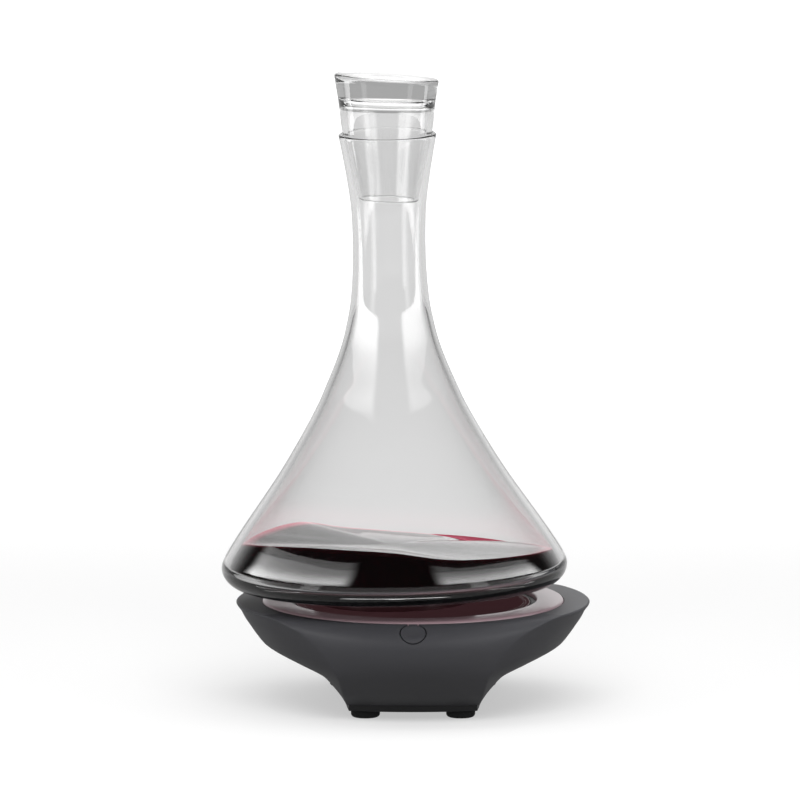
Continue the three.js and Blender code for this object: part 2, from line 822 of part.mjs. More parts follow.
function swirlDisc() {
  const groove_outer = disc_radius - disc_groove_inset;
  const groove_z = disc_top_z - disc_groove_depth;
  const profile = [
    [0, disc_hub_z],
    [disc_hub_radius, disc_hub_z],
    [disc_hub_radius, disc_bottom_z],
    [disc_radius, disc_bottom_z],
    [disc_radius, disc_top_z],
    [groove_outer, disc_top_z],
    [groove_outer, groove_z],
    [groove_outer - disc_groove_width, groove_z],
    [groove_outer - disc_groove_width, disc_top_z],
    [0, disc_top_z],
  ];
  const disc = revolve(profile, large_facets);
  const bore = spindleShape(spindle_bore_radius, spindle_flat + seat_gap, 0, disc_top_z - disc_hub_cap);
  const pinHole = cylinder(pin_radius + seat_gap, pinBottom() - seat_gap, pin_flange_z + cut_overrun);
  const screwHoles = weightScrewPlaces().map(([, x, y]) =>
    cylinder(
      screw_hole_radius,
      0,
      weight_bottom_z + weight_screw_length,
      x,
      y,
      screw_facets,
    ),
  );
  return cut(disc, bore, pinHole.applyMatrix4(seat_in_base), ...screwHoles);
}

// A round bar with one flat towards +Y.
function spindleShape(radius, flat, low, high) {
  const flat_box = box(2 * radius + cut_overrun, radius, low - cut_overrun, high + cut_overrun, 0, flat + radius / 2);
  return cut(cylinder(radius, low, high), flat_box);
}

function spindle() {
  const low = lower_bush_z - lower_bush_length - spindle_end_length;
  return spindleShape(spindle_radius, spindle_flat, low, disc_top_z - disc_hub_cap - seat_gap);
}

function weightScrewPlaces() {
  const names = ["weight_screw_front", "weight_screw_rear"];
  return names.map((name, i) => {
    const angle = weight_screw_angle * (2 * i - 1);
    return [name, weight_screw_radius_at * Math.cos(angle), weight_screw_radius_at * Math.sin(angle)];
  });
}

function balanceWeight() {
  const arc = (radius, turn) =>
    Array.from({ length: weight_steps + 1 }, (_, i) => {
      const angle = turn * weight_span * (i / weight_steps - 1 / 2);
      return [radius * Math.cos(angle), radius * Math.sin(angle)];
    });
  const outline = [...arc(weight_outer_radius, 1), ...arc(weight_inner_radius, -1)];
  const holes = weightScrewPlaces().map(([, x, y]) =>
    cylinder(screw_hole_radius, 0, weight_top_z + cut_overrun, x, y, screw_facets),
  );
  return cut(plate(outline, weight_bottom_z, weight_top_z), ...holes);
}

// Gears

// The outline of a spur gear with one tooth centred on +X.
function gearOutline(teeth, addendum_share) {
  const pitch = (gear_module * teeth) / 2;
  const base = pitch * Math.cos(pressure_angle);
  const root = pitch - dedendum_share * gear_module;
  const tip = pitch + addendum_share * gear_module;
  const involute = (angle) => Math.tan(angle) - angle;
  const pitchHalf = Math.PI / (2 * teeth) - gear_backlash / (4 * pitch);
  const halfAngle = (radius) =>
    pitchHalf + involute(pressure_angle) - involute(Math.acos(Math.min(1, base / Math.max(base, radius))));
  const radii = base > root ? [root, base, tip] : [root, tip];
  const flank = radii.map((radius) => [radius, halfAngle(radius)]);
  return Array.from({ length: teeth }, (_, i) => {
    const middle = (2 * Math.PI * i) / teeth;
    const rising = flank.map(([radius, half]) => [radius, middle - half]);
    const falling = [...flank].reverse().map(([radius, half]) => [radius, middle + half]);
    return [...rising, ...falling].map(([radius, angle]) => [radius * Math.cos(angle), radius * Math.sin(angle)]);
  }).flat();
}

function driveGear() {
  const rim_inner = gear_root_radius - gear_rim_thickness;
  const toothed = plate(gearOutline(gear_teeth, gear_addendum_share), gear_bottom_z, gear_top_z);
  const hub = cylinder(gear_hub_radius, gear_hub_bottom_z, gear_hub_top_z);
  const recess_top_z = gear_top_z - gear_web_thickness;
  const recess = tube(rim_inner, gear_hub_radius, gear_bottom_z - cut_overrun, recess_top_z, medium_facets);
  const bore = spindleShape(spindle_bore_radius, spindle_flat + seat_gap, 0, deck_z);
  return cut(join(cut(toothed, recess), hub), bore);
}

function motorPinion() {
  const low = gear_bottom_z - pinion_overhang;
  const high = gear_top_z + pinion_overhang;
  const toothed = plate(gearOutline(pinion_teeth, pinion_addendum_share), low, high);
  return cut(toothed, cylinder(motor_shaft_radius + seat_gap, 0, deck_z, 0, 0, screw_facets)).translate(0, motor_y, 0);
}

// Motor and bracket

function motorCan() {
  const edge = motor_edge_radius;
  const bore_radius = motor_shaft_radius + seat_gap;
  const nose_z = motor_top_z + motor_nose_height;
  const profile = [
    [0, motor_bottom_z],
    ...roundCorner(motor_radius - edge, motor_bottom_z + edge, edge, -Math.PI / 2, 0, 2),
    ...roundCorner(motor_radius - edge, motor_top_z - edge, edge, 0, Math.PI / 2, 2),
    [motor_nose_radius, motor_top_z],
    [motor_nose_radius, nose_z],
    [bore_radius, nose_z],
    [bore_radius, motor_top_z - motor_bore_depth],
    [0, motor_top_z - motor_bore_depth],
  ];
  const holes = motorScrewPlaces().map(([, x]) =>
    cylinder(screw_hole_radius, motor_top_z - motor_screw_length, deck_z, x, 0, screw_facets),
  );
  return cut(revolve(profile, small_facets), ...holes).translate(0, motor_y, 0);
}

function motorShaft() {
  const low = motor_top_z - motor_bore_depth + seat_gap;
  const high = gear_top_z + pinion_overhang + motor_nose_height;
  return cylinder(motor_shaft_radius, low, high, 0, motor_y, screw_facets);
}

function motorScrewPlaces() {
  return [
    ["motor_screw_left", -motor_screw_spacing / 2],
    ["motor_screw_right", motor_screw_spacing / 2],
  ];
}

function motorBracket() {
  const back = motor_y + motor_radius + bracket_back_margin;
  const half = bracket_width / 2;
  const slab = box(
    bracket_width,
    back + bracket_front_reach,
    bracket_bottom_z,
    bracket_top_z,
    0,
    (back - bracket_front_reach) / 2,
  );
  const corner = (x, y) => {
    const size = half - bracket_post_x;
    const square = box(2 * size, 2 * size, 0, deck_z, x, y);
    const round = cylinder(size, 0, deck_z, x - Math.sign(x) * size, y - Math.sign(y) * size, small_facets);
    return cut(square, round);
  };
  const corners = [-half, half].flatMap((x) => [-bracket_front_reach, back].map((y) => corner(x, y)));
  const trimmed = cut(slab, ...corners);
  const holes = [
    cylinder(bush_bore_radius, 0, deck_z),
    cylinder(motor_nose_radius + seat_gap, 0, deck_z, 0, motor_y),
    ...bracketPostPlaces().map(([, x, y]) => cylinder(screw_hole_radius, 0, deck_z, x, y, screw_facets)),
    ...motorScrewPlaces().map(([, x]) => cylinder(screw_hole_radius, 0, deck_z, x, motor_y, screw_facets)),
  ];
  return cut(trimmed, ...holes);
}

// A motor screw points down, its head on the bracket.
function motorScrew(x) {
  return screw(motor_screw_length, 0, 0, 0)
    .rotateX(Math.PI)
    .translate(x, motor_y, bracket_top_z + seat_gap);
}

// Boards

function controlPosts() {
  const x = control_board_width / 2 - control_post_radius;
  const y = control_board_depth / 2 - control_post_radius;
  return [-x, x].flatMap((px) => [-y, y].map((py) => [px, control_board_y + py]));
}

function controlBoard() {
  const low = cover_floor_z + control_post_height + seat_gap;
  const high = low + control_board_thickness;
  const inside = high - control_board_thickness / 2;
  const board = box(control_board_width, control_board_depth, low, high, 0, control_board_y);
  const quarter = control_board_width / 4;
  const capacitor = cylinder(capacitor_radius, inside, high + capacitor_height, -quarter, control_board_y);
  const chip = box(chip_size, chip_size, inside, high + chip_height, 0, control_board_y);
  const plug = box(plug_length, plug_width, inside, high + plug_height, quarter, control_board_y);
  return join(board, capacitor, chip, plug);
}

function buttonBoard() {
  const back = ring_outer_radius + seat_gap;
  const face = back + button_board_thickness;
  const low = frame_skirt_z + seat_gap;
  const middle = low + button_board_height * switch_height_share;
  const board = box(
    button_board_width,
    button_board_thickness,
    low,
    low + button_board_height,
    0,
    -(back + face) / 2,
  );
  const body_depth = switch_depth + button_board_thickness / 2;
  const body_y = -(face + switch_depth - body_depth / 2);
  const body = box(switch_size, body_depth, middle - switch_size / 2, middle + switch_size / 2, 0, body_y);
  const plunger = cylinder(switch_plunger_radius, 0, switch_depth + switch_plunger_length, 0, 0, screw_facets);
  plunger.rotateX(Math.PI / 2).translate(0, -face, middle);
  return join(board, body, plunger);
}

function powerInlet() {
  const collar_z = -inlet_boss_length - seat_gap;
  const profile = [
    [0, -inlet_length],
    [inlet_radius, -inlet_length],
    [inlet_radius, collar_z - inlet_collar_length],
    [inlet_collar_radius, collar_z - inlet_collar_length],
    [inlet_collar_radius, collar_z],
    [inlet_radius, collar_z],
    [inlet_radius, 0],
    [inlet_bore_radius, 0],
    [inlet_bore_radius, -inlet_bore_depth],
    [inlet_pin_radius, -inlet_bore_depth],
    [inlet_pin_radius, -inlet_pin_radius],
    [0, -inlet_pin_radius],
  ];
  return alongRear(revolve(profile, small_facets));
}

// Crank pin, seat and pad: made upright round the seat's axis

function pinBottom() {
  return disc_hub_z + disc_hub_cap;
}

function crankPin() {
  const top_z = tray_bore_top_z - 2 * seat_gap;
  const profile = [
    [0, pinBottom()],
    [pin_radius, pinBottom()],
    [pin_radius, pin_flange_z],
    [pin_flange_radius, pin_flange_z],
    [pin_flange_radius, pin_flange_z + pin_flange_thickness],
    [pin_radius, pin_flange_z + pin_flange_thickness],
    [pin_radius, top_z],
    [0, top_z],
  ];
  return revolve(profile, small_facets);
}

function seatBush() {
  const profile = [
    [pin_radius + seat_gap, seat_bush_z],
    [bush_flange_radius, seat_bush_z],
    [bush_flange_radius, seat_bush_z + bush_flange_thickness],
    [seat_bush_radius, seat_bush_z + bush_flange_thickness],
    [seat_bush_radius, tray_bore_top_z - seat_gap],
    [pin_radius + seat_gap, tray_bore_top_z - seat_gap],
  ];
  return revolve(profile, small_facets);
}

function seatTray() {
  const bore = seat_bush_radius + seat_gap;
  const plate_z = tray_top_z - tray_plate_thickness;
  const profile = [
    [0, tray_bore_top_z],
    [bore, tray_bore_top_z],
    [bore, tray_hub_z],
    [tray_hub_radius, tray_hub_z],
    [tray_hub_radius, plate_z],
    [tray_radius - tray_wall, plate_z],
    [tray_radius - tray_wall, tray_bottom_z],
    [tray_radius, tray_bottom_z],
    ...roundCorner(tray_radius - tray_edge_radius, tray_top_z - tray_edge_radius, tray_edge_radius, 0, Math.PI / 2),
    [0, tray_top_z],
  ];
  return revolve(profile, medium_facets);
}

function seatPad() {
  const edge = pad_edge_radius;
  const profile = [
    [0, pad_bottom_z],
    [pad_radius, pad_bottom_z],
    ...roundCorner(pad_radius - edge, pad_top_z - edge, edge, 0, Math.PI / 2),
    [0, pad_top_z],
  ];
  return revolve(profile, medium_facets);
}

// Glass, wine and stopper: made upright round the seat's axis

function glassOuterRows() {
  const row = ([height, share], widest) => [
    neck_radius + share * (widest - neck_radius),
    glass_bottom_z + height * glass_height,
  ];
  const body = glass_body_shares.map((shares) => row(shares, glass_radius));
  const mouth = glass_mouth_shares.map((shares) => row(shares, mouth_radius));
  return [...body, ...mouth];
}

// The inside wall above its corner, moved in from the outside rows by the glass's thickness and a further inset.
function glassWallRows(inset) {
  const walls = [glass_wall_low, glass_wall_shoulder, glass_wall_neck, glass_wall_mouth];
  const wallRows = glass_wall_height_shares.map((share, i) => [share, walls[i]]);
  const outer = glassOuterRows();
  return outer
    .map(([radius, z], i) => {
      const share = (z - glass_bottom_z) / glass_height;
      const before = outer[Math.max(0, i - 1)];
      const after = outer[Math.min(outer.length - 1, i + 1)];
      const along = new THREE.Vector2(after[0] - before[0], after[1] - before[1]).normalize();
      const wall = between(wallRows, share) + inset;
      return [share, radius - along.y * wall, z + along.x * wall];
    })
    .filter(([share]) => share >= glass_inner_start_share)
    .map(([, radius, z]) => [radius, z]);
}

// Floor corner of the inside, from the flat floor to where the wall rows start.
function glassCornerRows(inset) {
  const floor_z = glass_bottom_z + glass_floor_thickness + inset;
  const [wallRadius, wallZ] = glassWallRows(inset)[0];
  return glass_corner_shares.map(([reach, climb]) => [reach * wallRadius, floor_z + climb * (wallZ - floor_z)]);
}

function glassDecanter() {
  const outer = glassOuterRows();
  const inner = [...glassCornerRows(0), ...glassWallRows(0)];
  const [mouthRadius] = outer[outer.length - 1];
  const [innerMouthRadius] = inner[inner.length - 1];
  const lip = [
    mouthRadius + (innerMouthRadius - mouthRadius) * lip_round_share,
    mouthRadius + (innerMouthRadius - mouthRadius) * (1 - lip_round_share),
  ];
  const profile = [
    [0, glass_bottom_z + punt_rise],
    [punt_radius, glass_bottom_z + punt_rise],
    [punt_edge_radius, glass_bottom_z],
    ...outer,
    [lip[0], mouth_z],
    [lip[1], mouth_z],
    ...inner.reverse(),
    [0, glass_bottom_z + glass_floor_thickness],
  ];
  return revolve(profile, large_facets);
}

// Height of the wine's edge along the seat's axis, at a turn from the front and a distance from the axis.
function wineEdge(turn, radius) {
  const first = wine_edge_shares[0];
  const closed = [...wine_edge_shares, [first[0] + 1, first[1]]];
  const place = turn < first[0] ? turn + 1 : turn;
  const x = radius * Math.sin(2 * Math.PI * turn);
  return glass_bottom_z + wine_level + wine_wave * between(closed, place) - x * Math.tan(lean);
}

function wine() {
  const wall = [...glassCornerRows(seat_gap), ...glassWallRows(seat_gap)].map(([radius, z]) => [z, radius]);
  const corner = glass_corner_shares.length;
  const middle_z = glass_bottom_z + wine_level;
  const turns = Array.from({ length: wine_columns }, (_, i) => {
    const turn = i / wine_columns;
    return turn > 1 / 2 ? turn - 1 : turn;
  });
  const at = (turn, radius, z) => {
    const angle = 2 * Math.PI * turn;
    return [radius * Math.sin(angle), -radius * Math.cos(angle), z];
  };
  const edges = turns.map((turn) => wineEdge(turn, glass_radius));
  const rings = wall.slice(0, corner + 1).map(([z, radius]) => turns.map((turn) => at(turn, radius, z)));
  const start_z = wall[corner][0];
  for (let step = 1; step <= wine_wall_steps; step++) {
    const ring = turns.map((turn, i) => {
      const z = start_z + ((edges[i] - start_z) * step) / wine_wall_steps;
      return at(turn, between(wall, z), z);
    });
    rings.push(ring);
  }
  for (let step = wine_surface_steps - 1; step > 0; step--) {
    const share = step / wine_surface_steps;
    const ring = turns.map((turn, i) => {
      const radius = share * between(wall, edges[i]);
      return at(turn, radius, middle_z + (edges[i] - middle_z) * share ** wine_dish_share);
    });
    rings.push(ring);
  }
  return skin(rings, [0, 0, wall[0][0]], [0, 0, middle_z]);
}

// The stopper's radius where it seats in the decanter's mouth.
function stopperSeatRadius() {
  const wallRows = glassWallRows(0);
  const [innerMouthRadius] = wallRows[wallRows.length - 1];
  return innerMouthRadius - seat_gap;
}

// The stopper's outside radius at a height share from its foot.
function stopperRadius(share) {
  const rows = [
    [0, neck_radius - glass_wall_neck - stopper_foot_gap],
    [stopper_seat_share, stopperSeatRadius()],
    [stopper_waist_share, stopperSeatRadius() + stopper_waist_flare],
    [1, stopperSeatRadius() + stopper_top_flare],
  ];
  return between(rows, share);
}

function glassStopper() {
  const top_z = mouth_z + stopper_exposed_height;
  const foot_z = top_z - stopper_height;
  const edge = stopper_edge_radius;
  const hollow_z = top_z - stopper_solid_height;
  const hollow_radius = stopperRadius((hollow_z - foot_z) / stopper_height) - stopper_wall;
  const waist_z = foot_z + stopper_waist_share * stopper_height;
  const seat_z = foot_z + stopper_seat_share * stopper_height;
  const foot_radius_out = stopperRadius(0);
  const foot_bore_radius = foot_radius_out - stopper_wall;
  const profile = [
    [0, foot_z],
    [foot_radius_out - edge / 2, foot_z],
    [foot_radius_out, foot_z + edge / 2],
    [stopperRadius(stopper_seat_share), seat_z],
    [stopperRadius(stopper_waist_share), waist_z],
    ...roundCorner(stopperRadius(1) - edge, top_z - edge, edge, 0, Math.PI / 2),
    [0, top_z],
  ];
  const bore = [
    [0, foot_z - cut_overrun],
    [foot_bore_radius, foot_z - cut_overrun],
    [foot_bore_radius, foot_z],
    [hollow_radius, hollow_z - 2 * stopper_wall],
    [hollow_radius - stopper_wall / 2, hollow_z - stopper_wall],
    [hollow_radius / 2, hollow_z - stopper_wall / 4],
    [0, hollow_z],
  ];
  const whole = cut(revolve(profile, medium_facets), revolve(bore, medium_facets));
  return slant(whole, foot_z, waist_z, top_z);
}

// Shears the top and the foot so that they slope down towards +X, and the top towards the back too.
function slant(geometry, foot_z, waist_z, top_z) {
  const position = geometry.attributes.position;
  const middle_z = (foot_z + waist_z) / 2;
  for (let i = 0; i < position.count; i++) {
    const z = position.getZ(i);
    const above = Math.max(0, (z - middle_z) / (top_z - middle_z)) ** 2;
    const below = Math.max(0, (middle_z - z) / (middle_z - foot_z)) ** 2;
    const slope = Math.tan(stopper_top_slant) * above + Math.tan(stopper_foot_slant) * below;
    const back_slope = Math.tan(stopper_back_slant) * above;
    position.setZ(i, z - position.getX(i) * slope - position.getY(i) * back_slope);
  }
  return geometry;
}

// Materials

function material(color, roughness, metalness, opacity = 1) {
  return new THREE.MeshStandardMaterial({ color, roughness, metalness, opacity, transparent: opacity < 1 });
}

const clearGlass = () => material("#e6eaea", 0.03, 0, 0.35);
const redWine = () => material("#3a0710", 0.1, 0);
const charcoalPlastic = () => material("#46464b", 0.35, 0);
const blackPlastic = () => material("#2c2c2e", 0.55, 0);
const frostedAcrylic = () => material("#d9cfd2", 0.3, 0);
const discPlastic = () => material("#3b3a3c", 0.4, 0);
const rubber = () => material("#1c1c1d", 0.85, 0);
const silicone = () => material("#4a4a4d", 0.8, 0);
const steel = () => material("#b9bcc0", 0.3, 1);
const brass = () => material("#b58b4c", 0.35, 1);
const acetal = () => material("#e9e6dc", 0.5, 0);
const boardGreen = () => material("#1f5a3a", 0.55, 0);
const boardWhite = () => material("#f0efe9", 0.5, 0);

// Assembly

const group = new THREE.Group();
group.name = "aerating_wine_decanter";

function add(name, geometry, surface, place = base_place) {
  const faceted = geometry.index ? geometry.toNonIndexed() : geometry;
  faceted.applyMatrix4(place);
  faceted.computeVertexNormals();
  const mesh = new THREE.Mesh(faceted, surface);
  mesh.name = name;
  group.add(mesh);
}

add("upper_housing", upperHousing(), charcoalPlastic());
add("bottom_cover", bottomCover(), blackPlastic());
for (const [name, screwName, x, y] of footPlaces()) {
  add(name, foot(x, y), rubber());
  add(screwName, screw(foot_screw_length, foot_screw_recess - seat_gap, x, y), steel());
}
add("inner_frame", innerFrame(), blackPlastic());
earPlaces().forEach(([x, y], i) => {
  add(`frame_screw_${i + 1}`, screw(frame_screw_length, frame_skirt_z - seat_gap, x, y), steel());
});
add("light_ring", lightRing(), frostedAcrylic());
add("light_board", lightBoard(), boardWhite());
add("power_button", powerButton(), charcoalPlastic());
add("button_board", buttonBoard(), boardGreen());
add("power_inlet", powerInlet(), blackPlastic());
add("control_board", controlBoard(), boardGreen());
add("motor_bracket", motorBracket(), steel());
for (const [name, x, y] of bracketPostPlaces()) {
  add(name, screw(bracket_screw_length, bracket_bottom_z - seat_gap, x, y), steel());
}
add("motor_can", motorCan(), steel());
for (const [name, x] of motorScrewPlaces()) add(name, motorScrew(x), steel());
add("motor_shaft", motorShaft(), steel());
add("motor_pinion", motorPinion(), brass());
add("upper_bearing", hangingBush(upper_bush_z, bush_length), brass());
add("lower_bearing", hangingBush(lower_bush_z, lower_bush_length), brass());
add("drive_spindle", spindle(), steel());
add("drive_gear", driveGear(), acetal());
add("swirl_disc", swirlDisc(), discPlastic());
add("balance_weight", balanceWeight(), steel());
for (const [name, x, y] of weightScrewPlaces()) {
  add(name, screw(weight_screw_length, weight_bottom_z - seat_gap, x, y), steel());
}
add("crank_pin", crankPin(), steel(), seat_place);
add("seat_bearing", seatBush(), brass(), seat_place);
add("seat_tray", seatTray(), discPlastic(), seat_place);
add("seat_pad", seatPad(), silicone(), seat_place);
add("glass_decanter", glassDecanter(), clearGlass(), seat_place);
add("wine", wine(), redWine(), seat_place);
add("glass_stopper", glassStopper(), clearGlass(), seat_place);

export default group;
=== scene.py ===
"""A swirling wine decanter on its motorised base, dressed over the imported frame. Blender 4.5."""

import json
from math import asin, atan2, cos, hypot, pi, radians, sin, sqrt, tan

import bmesh
import bpy
from bpy.props import FloatProperty, IntProperty, PointerProperty, StringProperty
from mathutils import Matrix, Vector


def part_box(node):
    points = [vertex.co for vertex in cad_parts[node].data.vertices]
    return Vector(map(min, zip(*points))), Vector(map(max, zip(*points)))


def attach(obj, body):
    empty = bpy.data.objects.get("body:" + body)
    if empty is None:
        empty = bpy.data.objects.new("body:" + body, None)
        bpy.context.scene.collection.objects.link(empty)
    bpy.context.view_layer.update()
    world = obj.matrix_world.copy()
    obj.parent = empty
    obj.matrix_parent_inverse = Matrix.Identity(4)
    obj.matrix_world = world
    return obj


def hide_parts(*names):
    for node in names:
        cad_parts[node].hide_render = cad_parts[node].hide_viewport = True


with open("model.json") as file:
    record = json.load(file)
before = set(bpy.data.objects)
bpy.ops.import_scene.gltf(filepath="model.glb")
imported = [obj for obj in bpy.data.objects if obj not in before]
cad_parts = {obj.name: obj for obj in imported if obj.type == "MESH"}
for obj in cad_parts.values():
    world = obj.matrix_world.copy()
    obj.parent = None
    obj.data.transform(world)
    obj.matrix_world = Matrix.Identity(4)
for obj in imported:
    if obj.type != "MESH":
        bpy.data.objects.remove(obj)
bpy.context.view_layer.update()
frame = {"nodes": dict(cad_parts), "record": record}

bl_info = {
    "name": "Swirling wine decanter",
    "version": (1, 0, 0),
    "blender": (4, 5, 0),
    "location": "3D View > Sidebar > Decanter",
    "description": "Builds a glass decanter with its stopper, wine and motorised base",
    "category": "Object",
}

MM = 0.001

# The photograph: its width in pixels, metres to a pixel, and its camera, aimed at (x from the base's axis, z)
PICTURE_WIDTH = 800
PIXEL = 0.6064 * MM
CAMERA_DISTANCE = 10.0
CAMERA_ELEVATION = radians(8.5)
CAMERA_AIM = (-7.9 * MM, 185 * MM)
SENSOR_WIDTH = 36

# Edges bent by less than this many degrees are shaded smooth
SHARP = 32
GLASS_SHARP = 60
# Points between two given ones of a glass profile, and along a housing's front panel and wing
PROFILE_STEPS = 8
PANEL_STEPS = 18
WING_STEPS = 16
# From the light ring's edge to the button's middle, and the lean of the roll there
BUTTON_TO_RING = 8.4 * MM
BUTTON_TILT = radians(34)
SILICONE = "#3A3A3D"


# Sizes and colours that a user would change


class DecanterSizes(bpy.types.PropertyGroup):
    """Sizes of the glass, the wine and the stopper, in metres."""

    glass_radius: FloatProperty(
        name="Glass radius", description="Widest radius of the decanter", default=0.105, unit="LENGTH"
    )
    neck_radius: FloatProperty(
        name="Neck radius", description="Radius at the neck's narrowest place", default=0.02204, unit="LENGTH"
    )
    mouth_radius: FloatProperty(
        name="Mouth radius", description="Outside radius at the mouth", default=0.02975, unit="LENGTH"
    )
    glass_height: FloatProperty(
        name="Glass height", description="Underside to mouth", default=0.2753, unit="LENGTH"
    )
    glass_bottom: FloatProperty(
        name="Glass underside", description="Underside over the floor", default=0.0728, unit="LENGTH"
    )
    floor_thickness: FloatProperty(
        name="Floor thickness", description="Glass under the wine", default=0.0075, unit="LENGTH"
    )
    lean: FloatProperty(
        name="Lean", description="Lean of the swirling decanter", default=radians(0.92), subtype="ANGLE"
    )
    orbit: FloatProperty(
        name="Orbit", description="Base's axis to the decanter's", default=0.0113, unit="LENGTH"
    )
    wine_level: FloatProperty(
        name="Wine level", description="Mean level over the glass's underside", default=0.0222, unit="LENGTH"
    )
    wine_wave: FloatProperty(
        name="Wave height", description="Swirl's crest over the mean level", default=0.01, unit="LENGTH"
    )
    stopper_exposed: FloatProperty(
        name="Stopper showing", description="Top of the stopper over the mouth", default=0.035, unit="LENGTH"
    )
    stopper_height: FloatProperty(
        name="Stopper height", description="Foot to top of the stopper", default=0.075, unit="LENGTH"
    )


class BaseSizes(bpy.types.PropertyGroup):
    """Sizes of the motorised base, in metres."""

    rim_radius: FloatProperty(
        name="Rim radius", description="Radius of the housing's round rim", default=0.1073, unit="LENGTH"
    )
    housing_height: FloatProperty(
        name="Housing height", description="Deck to the housing's bottom", default=0.0535, unit="LENGTH"
    )
    wall: FloatProperty(
        name="Housing wall", description="Wall, measured level", default=0.0034, unit="LENGTH"
    )
    ridge_round: IntProperty(
        name="Ridge softness", description="Passes that round the front ridges", default=1, min=0, max=8
    )
    button_radius: FloatProperty(
        name="Button radius", description="Radius of the power button", default=0.0075, unit="LENGTH"
    )
    button_gap: FloatProperty(
        name="Button gap", description="Cut between button and housing", default=0.0007, unit="LENGTH"
    )
    button_dish: FloatProperty(
        name="Button dish", description="Depth of the finger dish", default=0.001, unit="LENGTH"
    )


class Colours(bpy.types.PropertyGroup):
    """Colours as sRGB hex values."""

    housing: StringProperty(name="Housing", description="Charcoal moulding", default="#414145")
    cover: StringProperty(name="Cover", description="Bottom cover and inner frame", default="#222224")
    # Ring, disc and tray are tinted red: painted light that comes down through the wine.
    ring: StringProperty(name="Light ring", description="Frosted acrylic", default="#8C757B")
    disc: StringProperty(name="Swirl disc", description="Turning disc", default="#4A3034")
    tray: StringProperty(name="Seat tray", description="Tray under the glass", default="#33191C")
    glass: StringProperty(name="Glass", description="Clear soda glass", default="#FFFFFF")
    wine_deep: StringProperty(name="Wine", description="Wine where it is deep", default="#170206")
    wine_edge: StringProperty(name="Wine edge", description="Wine where it is thin", default="#5E0F1C")
    rubber: StringProperty(name="Feet", description="Rubber feet", default="#1D1D1E")


def sizes():
    return bpy.context.scene.decanter_sizes


def base():
    return bpy.context.scene.decanter_base


def colours():
    return bpy.context.scene.decanter_colours


# Places


def base_x():
    """The base's own axis; the frame's origin is under the middle of the whole box."""
    low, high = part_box("light_ring")
    return (low.x + high.x) / 2


def radius_of(name):
    """Radius of a round solid."""
    low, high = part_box(name)
    return (high.x - low.x) / 2


def widest_z():
    return sizes().glass_bottom + WIDEST_SHARE * sizes().glass_height


def base_place():
    return Matrix.Translation((base_x(), 0, 0))


def seat_place():
    """The leaning axis that seat, glass, wine and stopper share."""
    pivot = Matrix.Translation((base_x() - sizes().orbit, 0, widest_z()))
    return pivot @ Matrix.Rotation(-sizes().lean, 4, "Y") @ Matrix.Translation((0, 0, -widest_z()))


# Shapes: shares of the sizes above, as in the solids

WIDEST_SHARE = 0.0396
# Share of the glass's height, share of the way from the neck's to the widest radius
BODY_SHARES = [
    (0, 0.8312), (0.0035, 0.9156), (0.0189, 0.9771), (0.0396, 1), (0.0588, 0.9808), (0.0915, 0.9168),
    (0.1348, 0.8215), (0.186, 0.7035), (0.2492, 0.5612), (0.3306, 0.3986), (0.4017, 0.2707),
    (0.4486, 0.2020), (0.4954, 0.1369), (0.5401, 0.0851), (0.5866, 0.0477), (0.6313, 0.0212),
    (0.6938, 0.0045), (0.7428, 0),
]
# The same, from the neck's to the mouth's radius
MOUTH_SHARES = [(0.785, 0.0081), (0.8427, 0.1118), (0.8987, 0.3696), (0.9488, 0.6688), (0.997, 0.9848)]
# Share of the glass's height, wall in mm
WALLS = [(0.0588, 4.8), (0.3306, 3.6), (0.6313, 3), (1, 2.4)]
# Share of the wall's radius, share of the climb from the floor to the wall
CORNER_SHARES = [(0.86, 0), (0.93, 0.05), (0.97, 0.2), (0.993, 0.5)]
# Turn from the front, height over the mean as a share of the wave
WINE_EDGE_SHARES = [
    (-0.3889, 0.29), (-0.3083, 0.25), (-0.25, 0.1), (-0.1917, 0.46), (-0.1111, 0.9), (-0.0556, 1),
    (0, 0.91), (0.0583, 0.48), (0.1056, 0.33), (0.1639, 0.19), (0.25, -0.1), (0.3361, -0.59),
    (0.3944, -1.18), (0.4389, -1.02), (0.5, -0.82), (0.5528, -0.44),
]
# Share of the height down from the deck; then shares of the rim's radius: front, front ridge's x and depth,
# rear ridge's x, half width
HOUSING_SHARES = [
    (0, 0.862, 0.833, 0.5405, 0.833, 0.993),
    (0.0187, 0.8872, 0.7912, 0.6116, 0.7912, 1),
    (0.0841, 0.9394, 0.6895, 0.7243, 0.6895, 0.9758),
    (0.1533, 0.9748, 0.6205, 0.7842, 0.6205, 0.9581),
    (0.2486, 0.9972, 0.5578, 0.8294, 0.5578, 0.9251),
    (0.3402, 0.9981, 0.5132, 0.8536, 0.5242, 0.8925),
    (0.4542, 0.9804, 0.4679, 0.8668, 0.505, 0.8407),
    (0.5776, 0.9413, 0.4329, 0.8592, 0.493, 0.7123),
    (0.6972, 0.8844, 0.4126, 0.8204, 0.488, 0.5623),
    (0.8393, 0.7978, 0.3956, 0.7489, 0.492, 0.4772),
    (0.9346, 0.7195, 0.3832, 0.6771, 0.498, 0.4306),
    (1, 0.6608, 0.3753, 0.6185, 0.503, 0.4017),
]


def hermite(t):
    """Weights of start, end, start's slope and end's slope at a share of the way."""
    return 2 * t**3 - 3 * t**2 + 1, 3 * t**2 - 2 * t**3, t**3 - 2 * t**2 + t, t**3 - t**2


def around(angle, radius, z):
    """The point at an angle from the front, about the upright axis."""
    return Vector((radius * sin(angle), -radius * cos(angle), z))


